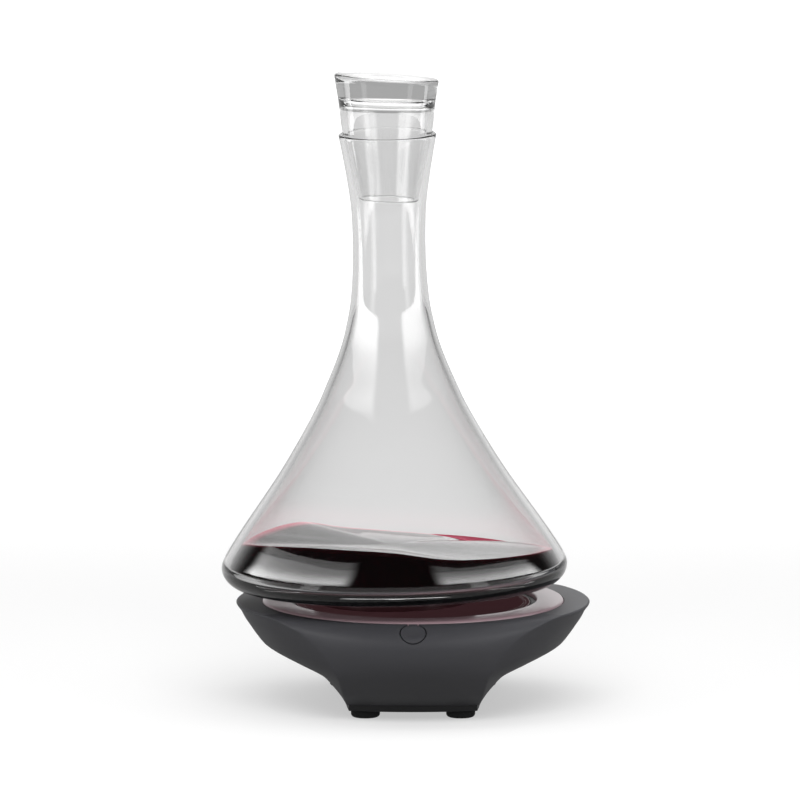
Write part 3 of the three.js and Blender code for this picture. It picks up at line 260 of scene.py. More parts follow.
def curve_through(points, steps):
    """A smooth line through points of any dimension, with so many steps between each two."""
    rows = [Vector(p) for p in points]
    count = len(rows)
    tangents = []
    for i in range(count):
        before, after = rows[max(0, i - 1)], rows[min(count - 1, i + 1)]
        span = (rows[i] - before).length + (after - rows[i]).length
        tangents.append((after - before) / span)
    line = [rows[0].copy()]
    for i in range(count - 1):
        length = (rows[i + 1] - rows[i]).length
        for k in range(1, steps + 1):
            start, end, leave, arrive = hermite(k / steps)
            place = rows[i] * start + rows[i + 1] * end
            bend = tangents[i] * length * leave + tangents[i + 1] * length * arrive
            line.append(place + bend)
    return line


def between(rows, place):
    """Value at a place in a table of (place, value) rows."""
    if place <= rows[0][0]:
        return rows[0][1]
    for (low, a), (high, b) in zip(rows, rows[1:]):
        if place <= high:
            return a + (b - a) * (place - low) / (high - low)
    return rows[-1][1]


def corner(radius, z, size, start, end, steps=6):
    """Points of a rounded corner about (radius, z), between two angles in degrees."""
    angles = [radians(start + (end - start) * i / steps) for i in range(steps + 1)]
    return [(radius + size * cos(a), z + size * sin(a)) for a in angles]


# Pieces


def add_object(name, data):
    """Puts a mesh, lamp or camera into the scene."""
    made = bpy.data.objects.new(name, data)
    bpy.context.scene.collection.objects.link(made)
    return made


def new_piece(name, mesh, body, nodes=()):
    """Puts a mesh into the scene as a piece that rides on a body and stands for CAD nodes."""
    piece = add_object(name, mesh)
    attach(piece, body)
    if nodes:
        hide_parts(*nodes)
    return piece


def mesh_of(name, vertices, faces, sharp_degrees=SHARP):
    """Makes a mesh with its normals outward and its flat bends smooth."""
    mesh = bpy.data.meshes.new(name)
    mesh.from_pydata([tuple(v) for v in vertices], [], faces)
    mesh.validate()
    shaped = bmesh.new()
    shaped.from_mesh(mesh)
    bmesh.ops.recalc_face_normals(shaped, faces=shaped.faces)
    shaped.to_mesh(mesh)
    shaped.free()
    smooth(mesh, sharp_degrees)
    return mesh


def smooth(mesh, sharp_degrees=SHARP):
    mesh.shade_smooth()
    mesh.set_sharp_from_angle(angle=radians(sharp_degrees))


def band(low, high):
    """Faces between two rings of vertex numbers; a ring of one number is a tip."""
    count = max(len(low), len(high))
    faces = []
    for k in range(count) if count > 1 else ():
        n = (k + 1) % count
        if len(low) == 1:
            faces.append((low[0], high[n], high[k]))
        elif len(high) == 1:
            faces.append((low[k], low[n], high[0]))
        else:
            faces.append((low[k], low[n], high[n], high[k]))
    return faces


def turned_mesh(name, profile, place, segments=160, sharp_degrees=SHARP, shift=None):
    """Turns a profile of (radius, z) about the place's axis; one off the axis is closed into a ring."""
    nothing = 1e-9
    vertices, rings = [], []
    for radius, z in profile:
        if radius < nothing:
            rings.append([len(vertices)])
            vertices.append(Vector((0, 0, z)))
            continue
        rings.append(range(len(vertices), len(vertices) + segments))
        vertices += [around(2 * pi * k / segments, radius, z) for k in range(segments)]
    if profile[0][0] >= nothing:
        rings.append(rings[0])
    faces = [face for low, high in zip(rings, rings[1:]) for face in band(low, high)]
    if shift:
        vertices = [shift(v) for v in vertices]
    return mesh_of(name, [place @ v for v in vertices], faces, sharp_degrees)


def skin_mesh(name, rings, place, loop=False, sharp_degrees=SHARP):
    """Skins rings of equally many points; a loop closes last to first, otherwise the ends get caps."""
    count = len(rings[0])
    vertices = [place @ p for ring in rings for p in ring]
    numbers = [range(start, start + count) for start in range(0, len(vertices), count)]
    if loop:
        numbers.append(numbers[0])
    faces = [face for low, high in zip(numbers, numbers[1:]) for face in band(low, high)]
    if not loop:
        faces += [tuple(numbers[0]), tuple(numbers[-1])]
    return mesh_of(name, vertices, faces, sharp_degrees)


def cut_with(piece, cutter_mesh, operation="DIFFERENCE"):
    """Cuts a piece with a mesh and makes the cut part of its own mesh."""
    cutter = add_object("cutter", cutter_mesh)
    modifier = piece.modifiers.new("cut", "BOOLEAN")
    modifier.operation = operation
    modifier.solver = "EXACT"
    modifier.object = cutter
    bpy.context.view_layer.update()
    made = bpy.data.meshes.new_from_object(piece.evaluated_get(bpy.context.evaluated_depsgraph_get()))
    piece.modifiers.clear()
    old = piece.data
    piece.data = made
    made.name = piece.name
    bpy.data.meshes.remove(old)
    bpy.data.objects.remove(cutter)
    if not piece.data.polygons:
        raise RuntimeError(f"nothing is left of {piece.name} after its cut")
    smooth(piece.data)


# Materials


def linear(code):
    """Turns an sRGB hex value into a linear colour."""
    channels = [int(code[i : i + 2], 16) / 255 for i in (1, 3, 5)]
    return (*[c / 12.92 if c <= 0.04045 else ((c + 0.055) / 1.055) ** 2.4 for c in channels], 1)


def add_node(tree, kind, settings=None, inputs=None):
    """Adds one node; inputs maps a socket's name or number to a value or to another node's output."""
    made = tree.nodes.new(kind)
    for name, value in (settings or {}).items():
        setattr(made, name, value)
    for name, value in (inputs or {}).items():
        if isinstance(value, bpy.types.NodeSocket):
            tree.links.new(value, made.inputs[name])
        else:
            made.inputs[name].default_value = value
    return made


def maths(tree, operation, *values):
    """Adds a Math node and returns its output."""
    inputs = dict(enumerate(values))
    return add_node(tree, "ShaderNodeMath", {"operation": operation}, inputs).outputs[0]


def ramp(tree, value, low, high, at_low, at_high, kind="SMOOTHSTEP"):
    """Adds a step of a value, soft unless its kind is LINEAR, and returns its output."""
    inputs = {"Value": value, "From Min": low, "From Max": high, "To Min": at_low, "To Max": at_high}
    return add_node(tree, "ShaderNodeMapRange", {"interpolation_type": kind}, inputs).outputs["Result"]


def noise(tree, size, detail, more=None):
    """Adds noise with grains of a size in mm that keeps its place on the piece, and returns its value."""
    place = add_node(tree, "ShaderNodeTexCoord").outputs["Object"]
    inputs = {"Vector": place, "Scale": 1 / (size * MM), "Detail": detail, **(more or {})}
    return add_node(tree, "ShaderNodeTexNoise", inputs=inputs).outputs["Fac"]


def bump(tree, height, strength, depth):
    """Adds dents of a depth in mm and returns the bent normal."""
    inputs = {"Strength": strength, "Distance": depth * MM, "Height": height}
    return add_node(tree, "ShaderNodeBump", inputs=inputs).outputs["Normal"]


def attribute(tree, name):
    """Adds a mesh attribute and returns its value."""
    return add_node(tree, "ShaderNodeAttribute", {"attribute_name": name}).outputs["Fac"]


def emission(tree, strength):
    """Adds a white glow."""
    inputs = {"Color": linear("#FFFFFF"), "Strength": strength}
    return add_node(tree, "ShaderNodeEmission", inputs=inputs).outputs[0]


def diffuse(tree, code):
    """Adds a matt surface."""
    return add_node(tree, "ShaderNodeBsdfDiffuse", inputs={"Color": linear(code)}).outputs[0]


def mix_shaders(tree, share, first, second):
    """Adds a mix of two shaders, with a share of the second."""
    return add_node(tree, "ShaderNodeMixShader", inputs={0: share, 1: first, 2: second}).outputs[0]


def mix_values(tree, share, first, second):
    """Adds a mix of two values, with a share of the second."""
    return add_node(tree, "ShaderNodeMix", inputs={0: share, 2: first, 3: second}).outputs[0]


def mirrored_or_refracted(tree, path):
    """1 for a ray that has been mirrored or refracted; a refracted one counts as both kinds."""
    both = maths(tree, "ADD", path.outputs["Is Glossy Ray"], path.outputs["Is Transmission Ray"])
    return maths(tree, "MINIMUM", both, 1.0)


def new_material(name):
    material = bpy.data.materials.new(name)
    material.use_nodes = True
    material.node_tree.nodes.clear()
    return material, material.node_tree


def finish_material(tree, surface):
    add_node(tree, "ShaderNodeOutputMaterial", inputs={"Surface": surface})


def principled(material, inputs):
    """Ends a material with one Principled shader."""
    tree = material.node_tree
    finish_material(tree, add_node(tree, "ShaderNodeBsdfPrincipled", inputs=inputs).outputs[0])
    return material


def moulded_abs(name, code, roughness, glow=0.0):
    """ABS or acetal, injection moulded in a spark-eroded tool: a soft satin sheen with a very fine grain, and
    an optional painted glow in its own colour.
    """
    material, tree = new_material(name)
    # Real grain is about 0.1 mm; it is drawn at 1.2 mm so that it shows.
    grain = noise(tree, 1.2, 2.0, {"Roughness": 0.6})
    wear = noise(tree, 30, 3.0)
    inputs = {
        "Base Color": linear(code),
        "Roughness": ramp(tree, wear, 0.0, 1.0, roughness - 0.04, roughness + 0.04, "LINEAR"),
        "IOR": 1.53,
        "Normal": bump(tree, grain, 0.25, 0.02),
        # Painted glow: emission in the part's own colour stands in for light that reaches it only through the
        # wine.
        "Emission Color": linear(code),
        "Emission Strength": glow,
    }
    return principled(material, inputs)


def soda_glass(name, code):
    """Soda glass, blown or pressed: clear, polished, with the faint waviness of hot glass."""
    material, tree = new_material(name)
    waves = noise(tree, 45, 1.0)
    inputs = {
        "Base Color": linear(code),
        "Roughness": 0.0,
        "IOR": 1.5,
        "Transmission Weight": 1.0,
        "Normal": bump(tree, waves, 0.05, 0.4),
    }
    return principled(material, inputs)


def red_wine(name, deep, edge):
    """Red wine: nearly black where it is deep, with a wet gloss; dark red where it thins towards its edge,
    partly its own colour and partly painted light shining through the thin wine, brightest at the far side.
    """
    material, tree = new_material(name)
    # The mesh attribute holds how thin the wine is, times a painted backlight.
    thin_backlit = attribute(tree, "thin_backlit")
    cloud = noise(tree, 25, 2.0)
    uneven = maths(tree, "MULTIPLY_ADD", cloud, 0.15, thin_backlit)
    share = ramp(tree, uneven, 0.08, 1.05, 0.0, 1.0, "LINEAR")
    ends = {0: share, 6: linear(deep), 7: linear(edge)}
    colour = add_node(tree, "ShaderNodeMix", {"data_type": "RGBA"}, ends).outputs[2]
    inputs = {
        "Base Color": colour,
        "Roughness": 0.04,
        "IOR": 1.345,
        # Painted backlight: the pink glow stands in for the light behind a film thinner than about 1 mm,
        # which shines through it.
        "Emission Color": linear("#C45A70"),
        "Emission Strength": ramp(tree, thin_backlit, 0.3, 0.8, 0.0, 0.65),
    }
    return principled(material, inputs)


def frosted_acrylic(name, code):
    """Cast acrylic, frosted below and polished on top: milky, sharp reflections, and a weak painted glow in
    the shade that stands in for light piped through it.
    """
    material, tree = new_material(name)
    frost = noise(tree, 0.8, 2.0)
    inputs = {
        "Base Color": linear(code),
        "Roughness": 0.35,
        "IOR": 1.49,
        "Coat Weight": 0.4,
        "Coat Roughness": 0.12,
        "Normal": bump(tree, frost, 0.1, 0.02),
        # Painted glow: the emission stands in for light piped through the acrylic from its lit parts.
        "Emission Color": linear(code),
        "Emission Strength": 0.2,
    }
    return principled(material, inputs)


def moulded_rubber(name, code, roughness=0.75):
    """Rubber or silicone, compression moulded: dull, with a fine powdery grain."""
    material, tree = new_material(name)
    normal = bump(tree, noise(tree, 0.9, 3.0), 0.4, 0.05)
    inputs = {"Base Color": linear(code), "Roughness": roughness, "IOR": 1.5, "Normal": normal}
    return principled(material, inputs)


def machined_metal(name, code, roughness):
    """Steel or bronze, turned or sheared: bright metal with fine parallel tool lines."""
    material, tree = new_material(name)
    place = add_node(tree, "ShaderNodeTexCoord").outputs["Object"]
    # Tool lines lie 0.6 mm apart and are closer along the axis.
    across = 1 / (0.6 * MM)
    stretched = {"Vector": place, "Scale": (across, across, 12 / (0.6 * MM))}
    vector = add_node(tree, "ShaderNodeMapping", inputs=stretched).outputs[0]
    pattern = {"Vector": vector, "Scale": 1.0, "Detail": 2.0}
    lines = add_node(tree, "ShaderNodeTexNoise", inputs=pattern).outputs["Fac"]
    gloss = ramp(tree, lines, 0.0, 1.0, roughness - 0.06, roughness + 0.08, "LINEAR")
    return principled(material, {"Base Color": linear(code), "Metallic": 1.0, "Roughness": gloss})


def solder_mask(name, code, trace_code):
    """Circuit board under solder mask: a semi-gloss film with faintly lighter copper traces beneath."""
    material, tree = new_material(name)
    # Traces run about 1.5 mm apart.
    pattern = {
        "Vector": add_node(tree, "ShaderNodeTexCoord").outputs["Object"],
        "Color1": linear(code),
        "Color2": linear(code),
        "Mortar": linear(trace_code),
        "Scale": 1 / (6 * MM),
        "Mortar Size": 0.04,
    }
    traces = add_node(tree, "ShaderNodeTexBrick", inputs=pattern).outputs["Color"]
    return principled(material, {"Base Color": traces, "Roughness": 0.35, "IOR": 1.5})


def dress(piece, material):
    piece.data.materials.clear()
    piece.data.materials.append(material)


# Glass profiles, in metres, upright round the seat's axis


def outer_line():
    """The outside from the foot's edge to below the lip."""
    s = sizes()
    points = []
    for shares, full_radius in ((BODY_SHARES, s.glass_radius), (MOUTH_SHARES, s.mouth_radius)):
        for height, share in shares:
            radius = s.neck_radius + share * (full_radius - s.neck_radius)
            points.append((radius, s.glass_bottom + height * s.glass_height))
    return curve_through(points, PROFILE_STEPS)


def wall_line(inset):
    """The inside wall above its corner, moved in by the glass's thickness and a further inset."""
    s = sizes()
    outer = outer_line()
    corner_top = 0.05
    line = []
    for i, point in enumerate(outer):
        share = (point.y - s.glass_bottom) / s.glass_height
        if share < corner_top:
            continue
        before, after = outer[max(0, i - 1)], outer[min(len(outer) - 1, i + 1)]
        along = (after - before).normalized()
        wall = between(WALLS, share) * MM + inset
        line.append(Vector((point.x - along.y * wall, point.y + along.x * wall)))
    return line


def inner_line(inset):
    """Floor corner and wall of the inside."""
    wall = wall_line(inset)
    floor_z = sizes().glass_bottom + sizes().floor_thickness + inset
    bend = [(reach * wall[0].x, floor_z + climb * (wall[0].y - floor_z)) for reach, climb in CORNER_SHARES]
    rounded = curve_through([*bend, tuple(wall[0])], 5)
    return rounded[:-1] + wall


def wine_edge(turn):
    """Height of the wine's edge on the glass at a turn from the front, along the seat's axis."""
    s = sizes()
    first = WINE_EDGE_SHARES[0]
    rows = [*WINE_EDGE_SHARES, (first[0] + 1, first[1])]
    place = turn + 1 if turn < first[0] else turn
    for i in range(len(rows) - 1):
        if rows[i][0] <= place <= rows[i + 1][0]:
            break
    count = len(WINE_EDGE_SHARES)
    y0, y1, y2, y3 = [WINE_EDGE_SHARES[(i + k) % count][1] for k in (-1, 0, 1, 2)]
    start, end, leave, arrive = hermite((place - rows[i][0]) / (rows[i + 1][0] - rows[i][0]))
    value = start * y1 + leave * (y2 - y0) / 2 + end * y2 + arrive * (y3 - y1) / 2
    x = s.glass_radius * sin(2 * pi * turn)
    return s.glass_bottom + s.wine_level + s.wine_wave * value - x * tan(s.lean)


# Housing sections


def quarter(front, ridge_x, ridge_depth, half_width):
    """One quarter of a level section, from the panel's middle over the ridge to the side, as (x, depth)."""
    rim = base().rim_radius
    crowding = 1.6  # draws points together at the ridge

    def sag(depth):
        return rim - sqrt(rim * rim - depth * depth)

    ridge_angle = atan2(ridge_x, ridge_depth)
    ridge_radius = hypot(ridge_x, ridge_depth)
    points = []
    for i in range(PANEL_STEPS + 1):
        t = 1 - (1 - i / PANEL_STEPS) ** crowding
        radius = front + (ridge_radius - front) * t * t
        points.append((radius * sin(ridge_angle * t), radius * cos(ridge_angle * t)))
    narrowing = (half_width - ridge_x) / sag(ridge_depth)
    for i in range(1, WING_STEPS + 1):
        t = (i / WING_STEPS) ** crowding
        depth = ridge_depth * (1 - t)
        points.append((half_width - narrowing * sag(depth), depth))
    return points


def section(row, inset):
    """The outline of one level, moved in by the inset, from the front's middle all round."""
    rim = base().rim_radius
    _, front, ridge_x, ridge_depth, rear_x, half = [share * rim - inset for share in row]
    ahead = [(x, -d) for x, d in quarter(front, ridge_x, ridge_depth, half)]
    behind = quarter(front, rear_x, ridge_depth, half)[:-1]
    right = ahead + behind[::-1]
    ring = right + [(-x, y) for x, y in right[1:-1]][::-1]
    count = len(ring)
    back = 2 * (PANEL_STEPS + WING_STEPS)
    ridges = [PANEL_STEPS, back - PANEL_STEPS, back + PANEL_STEPS, count - PANEL_STEPS]
    near = {(ridge + k) % count for ridge in ridges for k in range(-4, 5)}
    for _ in range(base().ridge_round):
        rounded = list(ring)
        for i in near:
            before, here, after = ring[i - 1], ring[i], ring[(i + 1) % count]
            rounded[i] = tuple((before[c] + 2 * here[c] + after[c]) / 4 for c in (0, 1))
        ring = rounded
    return ring


def housing_shell():
    """The housing as one closed skin: outside, bottom edge, inside, and the opening's wall."""
    b = base()
    deck_thickness, deck_blend, deck_zone = 2.6 * MM, 20 * MM, 12 * MM
    deck_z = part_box("upper_housing")[1].z
    opening = radius_of("light_ring") + 0.3 * MM
    rows = curve_through(HOUSING_SHARES, 6)
    outside, inside = [], []
    for row in rows:
        z = deck_z - row[0] * b.housing_height
        outside.append([Vector((x, y, z)) for x, y in section(row, 0)])
    for row in reversed(rows):
        level = row[0] * b.housing_height
        sunk = deck_thickness * max(0, 1 - level / deck_blend)
        ring = []
        for x, y in section(row, b.wall):
            radius = hypot(x, y)
            keep = max(1, (opening + 0.5 * MM) / radius) if level < deck_zone else 1
            ring.append(Vector((x * keep, y * keep, deck_z - level - sunk)))
        inside.append(ring)
    turns = [atan2(p.x, -p.y) for p in outside[0]]
    edge = [[around(t, opening, z) for t in turns] for z in (inside[-1][0].z, deck_z - 0.4 * MM, deck_z)]
    return skin_mesh("housing", outside + inside + edge, base_place(), loop=True)


def button_place():
    """A frame on the front roll with z along its outward normal and y up the slope."""
    depth = radius_of("light_ring") + BUTTON_TO_RING
    rows = [(row[1] * base().rim_radius, row[0] * base().housing_height) for row in HOUSING_SHARES]
    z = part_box("upper_housing")[1].z - between(rows, depth)
    return Matrix.Translation((base_x(), -depth, z)) @ Matrix.Rotation(BUTTON_TILT, 4, "X")


def button_prism(margin):
    """The button's outline with its tab, grown by a margin, as a prism through the shell."""
    b = base()
    radius, half_tab = b.button_radius + margin, 2.65 * MM + margin
    reach = b.button_radius + BUTTON_TO_RING + 1.5 * MM
    start, steps = asin(half_tab / radius), 56
    arc = [pi / 2 + start + (2 * pi - 2 * start) * i / steps for i in range(steps + 1)]
    outline = [(radius * cos(a), radius * sin(a)) for a in arc]
    outline += [(half_tab, reach), (-half_tab, reach)]
    rings = [[Vector((x, y, z)) for x, y in outline] for z in (-7 * MM, 4 * MM)]
    return skin_mesh("prism", rings, button_place())


# Operators


class PieceOperator:
    """What every operator here shares."""

    bl_options = {"REGISTER", "UNDO"}


class DECANTER_OT_stage(PieceOperator, bpy.types.Operator):
    """Floor, lights and camera"""

    bl_idname = "decanter.stage"
    bl_label = "Stage"

    def execute(self, context):
        scene = context.scene
        scene.view_settings.view_transform = "Standard"
        self.camera(scene)
        self.floor()
        self.world(scene)
        self.lamps()
        return {"FINISHED"}

    def camera(self, scene):
        data = bpy.data.cameras.new("camera")
        camera = add_object("camera", data)
        aim = Vector((base_x() + CAMERA_AIM[0], 0, CAMERA_AIM[1]))
        back = Vector((0, -cos(CAMERA_ELEVATION), sin(CAMERA_ELEVATION)))
        camera.location = aim + back * CAMERA_DISTANCE
        camera.rotation_mode = "QUATERNION"
        camera.rotation_quaternion = (-back).to_track_quat("-Z", "Y")
        data.sensor_width = SENSOR_WIDTH
        data.lens = SENSOR_WIDTH * CAMERA_DISTANCE / (PICTURE_WIDTH * PIXEL)
        data.clip_end = 60
        scene.camera = camera

    def floor(self):
        """A matt floor: white to the camera, pale grey in glass, and darker in front for reflections."""
        mesh = bpy.data.meshes.new("floor")
        half = 6.0
        corners = [(-half, -half, 0), (half, -half, 0), (half, half, 0), (-half, half, 0)]
        mesh.from_pydata(corners, [], [(0, 1, 2, 3)])
        floor = add_object("floor", mesh)
        material, tree = new_material("white_floor")
        path = add_node(tree, "ShaderNodeLightPath")
        indirect = mirrored_or_refracted(tree, path)
        place = add_node(tree, "ShaderNodeTexCoord").outputs["Object"]
        split = add_node(tree, "ShaderNodeSeparateXYZ", inputs={0: place})
        distance = maths(tree, "ABSOLUTE", split.outputs["Y"])
        white = ramp(tree, distance, 0.3, 1.5, 0.48, 0.9)
        white = maths(tree, "MULTIPLY", path.outputs["Is Camera Ray"], white)
        aside = ramp(tree, maths(tree, "ABSOLUTE", split.outputs["X"]), 0.25, 1.2, 1.0, 0.8)
        seen_through = maths(tree, "MULTIPLY", ramp(tree, distance, 0.3, 2.0, 0.41, 0.375), aside)
        glow = emission(tree, maths(tree, "MULTIPLY_ADD", indirect, seen_through, white))
        lit = add_node(tree, "ShaderNodeAddShader", inputs={0: diffuse(tree, "#BCBCBC"), 1: glow}).outputs[0]
        front = ramp(tree, split.outputs["Y"], 0.1, 0.55, 0.5, 0.0)
        table = mix_shaders(tree, maths(tree, "MULTIPLY", front, indirect), lit, diffuse(tree, "#141414"))
        # Matt surfaces get only a weak glow from below, as over a table that is lit from above.
        dull = diffuse(tree, "#7E7E7E")
        finish_material(tree, mix_shaders(tree, path.outputs["Is Diffuse Ray"], table, dull))
        mesh.materials.append(material)

    def world(self, scene):
        """Even light from above for matt surfaces; a pale backdrop and a darker front for shiny ones."""
        world = bpy.data.worlds.new("studio")
        scene.world = world
        world.use_nodes = True
        tree = world.node_tree
        tree.nodes.clear()
        place = add_node(tree, "ShaderNodeTexCoord").outputs["Generated"]
        split = add_node(tree, "ShaderNodeSeparateXYZ", inputs={0: place})
        path = add_node(tree, "ShaderNodeLightPath")
        backdrop = ramp(tree, split.outputs["Y"], 0.6, 0.92, 0.0, 1.15)
        aside = ramp(tree, maths(tree, "ABSOLUTE", split.outputs["X"]), 0.15, 0.45, 1.0, 0.45)
        backdrop = maths(tree, "MULTIPLY_ADD", backdrop, aside, 0.02)
        # The white ceiling hangs over and behind the object, not over the camera.
        overhead = maths(tree, "MULTIPLY_ADD", split.outputs["Y"], 0.6, split.outputs["Z"])
        mirrored = maths(tree, "ADD", backdrop, ramp(tree, overhead, 0.95, 1.1, 0.0, 1.0))
        seen_through = ramp(tree, split.outputs["Y"], -0.9, 0.6, 0.2, 0.38)
        seen_through = maths(tree, "ADD", seen_through, ramp(tree, overhead, 0.75, 0.95, 0.0, 0.8))
        bounced = maths(tree, "MINIMUM", path.outputs["Glossy Depth"], 1.0)
        shiny = mix_values(tree, bounced, seen_through, mirrored)
        matt = ramp(tree, split.outputs["Z"], -0.1, 0.6, 0.4, 0.7)
        level = mix_values(tree, mirrored_or_refracted(tree, path), matt, shiny)
        level = mix_values(tree, path.outputs["Is Camera Ray"], level, 1.0)
        inputs = {"Color": linear("#FFFFFF"), "Strength": level}
        shade = add_node(tree, "ShaderNodeBackground", inputs=inputs)
        add_node(tree, "ShaderNodeOutputWorld", inputs={"Surface": shade.outputs[0]})

    def lamps(self):
        """A soft key above the front, a weaker one overhead, and panels that only glass and wine mirror."""
        aim = Vector((0, 0, 0.1))
        soft = [
            ("lamp_front", (0.0, -0.95, 0.95), (1.0, 0.4), 7.5),
            ("lamp_top", (0.0, 0.1, 1.2), (1.1, 0.8), 3.0),
        ]
        for name, place, (width, height), power in soft:
            data = bpy.data.lights.new(name, "AREA")
            data.shape = "RECTANGLE"
            data.size, data.size_y = width, height
            data.energy = power
            lamp = add_object(name, data)
            lamp.location = place
            lamp.rotation_mode = "QUATERNION"
            lamp.rotation_quaternion = (aim - Vector(place)).to_track_quat("-Z", "Y")
            lamp.visible_glossy = False
            lamp.visible_transmission = False
        # Rows of turn from the front in degrees, lower edge and upper edge.
        left_box = [(-29, 0.335, 0.57), (-62, 0.29, 0.467), (-88, 0.243, 0.372), (-116, 0.18, 0.26)]
        right_box = [(25, 0.335, 0.575), (62, 0.29, 0.467), (88, 0.243, 0.372), (111, 0.19, 0.275)]
        self.panel("left_box", 0.45, left_box, 5.0)
        self.panel("right_box", 0.45, right_box, 4.2)
        self.panel("left_panel", 0.6, [(-47, 0.04, 0.45), (-61, 0.04, 0.45)], 2.4)
        self.panel("right_panel", 0.6, [(47, 0.04, 0.45), (61, 0.04, 0.45)], 2.4)

    def panel(self, name, distance, rows, strength):
        """A bent light panel, brighter at its lower edge and faded at its ends, seen in reflections alone."""
        material, tree = new_material(name)
        fade = 0.12
        rise, along = attribute(tree, "rise"), attribute(tree, "along")
        level = ramp(tree, rise, 0.0, 1.0, strength, 0.25 * strength)
        level = maths(tree, "MULTIPLY", level, ramp(tree, along, 0.0, fade, 0.0, 1.0))
        level = maths(tree, "MULTIPLY", level, ramp(tree, along, 1.0 - fade, 1.0, 1.0, 0.0))
        # Whatever is only looked through, as the glass from behind, lets the panel vanish.
        depth = add_node(tree, "ShaderNodeLightPath").outputs["Glossy Depth"]
        mirrored = maths(tree, "MINIMUM", depth, 1.0)
        clear = add_node(tree, "ShaderNodeBsdfTransparent").outputs[0]
        finish_material(tree, mix_shaders(tree, mirrored, clear, emission(tree, level)))
        line = curve_through(rows, 8)
        places = [(radians(turn), z) for turn, low, high in line for z in (low, high)]
        vertices = [around(angle, distance, z) for angle, z in places]
        faces = [(i, i + 2, i + 3, i + 1) for i in range(0, len(vertices) - 2, 2)]
        mesh = bpy.data.meshes.new(name)
        mesh.from_pydata(vertices, [], faces)
        steps = [i / (len(line) - 1) for i in range(len(line)) for _ in (0, 1)]
        mesh.attributes.new("rise", "FLOAT", "POINT").data.foreach_set("value", [0.0, 1.0] * len(line))
        mesh.attributes.new("along", "FLOAT", "POINT").data.foreach_set("value", steps)
        mesh.materials.append(material)
        panel = add_object(name, mesh)
        panel.visible_camera = False
        panel.visible_diffuse = False
        panel.visible_shadow = False


class DECANTER_OT_housing(PieceOperator, bpy.types.Operator):
    """Upper housing with its power button and inlet rim"""

    bl_idname = "decanter.housing"
    bl_label = "Housing and button"

    def execute(self, context):
        shell = housing_shell()
        button = new_piece("button_cap", shell.copy(), "button", ["power_button"])
        housing = new_piece("housing", shell, "base", ["upper_housing"])
        cut_with(button, button_prism(0), "INTERSECT")
        self.dish(button)
        cut_with(housing, button_prism(base().button_gap))
        low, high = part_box("power_inlet")
        back = Matrix.Translation((base_x(), high.y, (low.z + high.z) / 2))
        turn = back @ Matrix.Rotation(radians(-90), 4, "X")
        hole_radius, rim_inside, rim_outside, edge = 8.4 * MM, 5.8 * MM, 8.3 * MM, 0.4 * MM
        hole = [(0, -20 * MM), (hole_radius, -20 * MM), (hole_radius, 8 * MM), (0, 8 * MM)]
        cut_with(housing, turned_mesh("hole", hole, turn, 64))
        rim = [(rim_inside, -8 * MM), (rim_outside, -8 * MM)]
        rim += [*corner(7.9 * MM, 0, edge, 0, 90), (rim_inside, edge)]
        collar = new_piece("inlet_rim", turned_mesh("inlet_rim", rim, turn, 64), "base")
        plastic = moulded_abs("moulded_charcoal_abs", colours().housing, 0.52)
        for piece in (button, housing, collar):
            dress(piece, plastic)
        return {"FINISHED"}

    def dish(self, button):
        """Hollows the button with a ball."""
        radius = 26 * MM
        centre = button_place() @ Vector((0, 0, radius - base().button_dish))
        ball = bmesh.new()
        bmesh.ops.create_uvsphere(ball, u_segments=96, v_segments=64, radius=radius)
        bmesh.ops.translate(ball, verts=ball.verts, vec=centre)
        mesh = bpy.data.meshes.new("ball")
        ball.to_mesh(mesh)
        ball.free()
        cut_with(button, mesh)


class DECANTER_OT_feet(PieceOperator, bpy.types.Operator):
    """Four rubber feet with screw holes"""

    bl_idname = "decanter.feet"
    bl_label = "Feet"

    def execute(self, context):
        rubber = moulded_rubber("moulded_rubber", colours().rubber)
        edge, top_edge = 2.2 * MM, 0.3 * MM
        hole, counterbore = 1.8 * MM, 2.9 * MM
        for name in ("foot_front_left", "foot_front_right", "foot_rear_left", "foot_rear_right"):
            low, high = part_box(name)
            radius = radius_of(name)
            place = Matrix.Translation(((low.x + high.x) / 2, (low.y + high.y) / 2, 0))
            profile = [
                (hole, 2.2 * MM),
                (counterbore, 2.2 * MM),
                (counterbore, 0),
                *corner(radius - edge, edge, edge, -90, 0),
                *corner(radius - top_edge, high.z - top_edge, top_edge, 0, 90, 3),
                (hole, high.z),
            ]
            mesh = turned_mesh(name, profile, place, 64)
            dress(new_piece(name + "_pad", mesh, "base", [name]), rubber)
        return {"FINISHED"}


class DECANTER_OT_ring(PieceOperator, bpy.types.Operator):
    """Light ring round the well"""

    bl_idname = "decanter.ring"
    bl_label = "Light ring"

    def execute(self, context):
        low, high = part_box("light_ring")
        outer = radius_of("light_ring")
        width, edge, leg, skin = 16.4 * MM, 2 * MM, 2.4 * MM, 2.6 * MM
        inner = outer - width
        profile = [
            (inner, low.z),
            (inner + leg, low.z),
            (inner + leg, high.z - skin),
            (outer - leg, high.z - skin),
            (outer - leg, low.z),
            (outer, low.z),
            *corner(outer - edge, high.z - edge, edge, 0, 90, 8),
            *corner(inner + edge / 2, high.z - edge / 2, edge / 2, 90, 180, 5),
        ]
        mesh = turned_mesh("ring", profile, base_place(), 240, 50)
        ring = new_piece("ring", mesh, "base", ["light_ring"])
        # Its pink tint and weak glow are painted light from the wine above.
        dress(ring, frosted_acrylic("cast_frosted_acrylic", colours().ring))
        return {"FINISHED"}


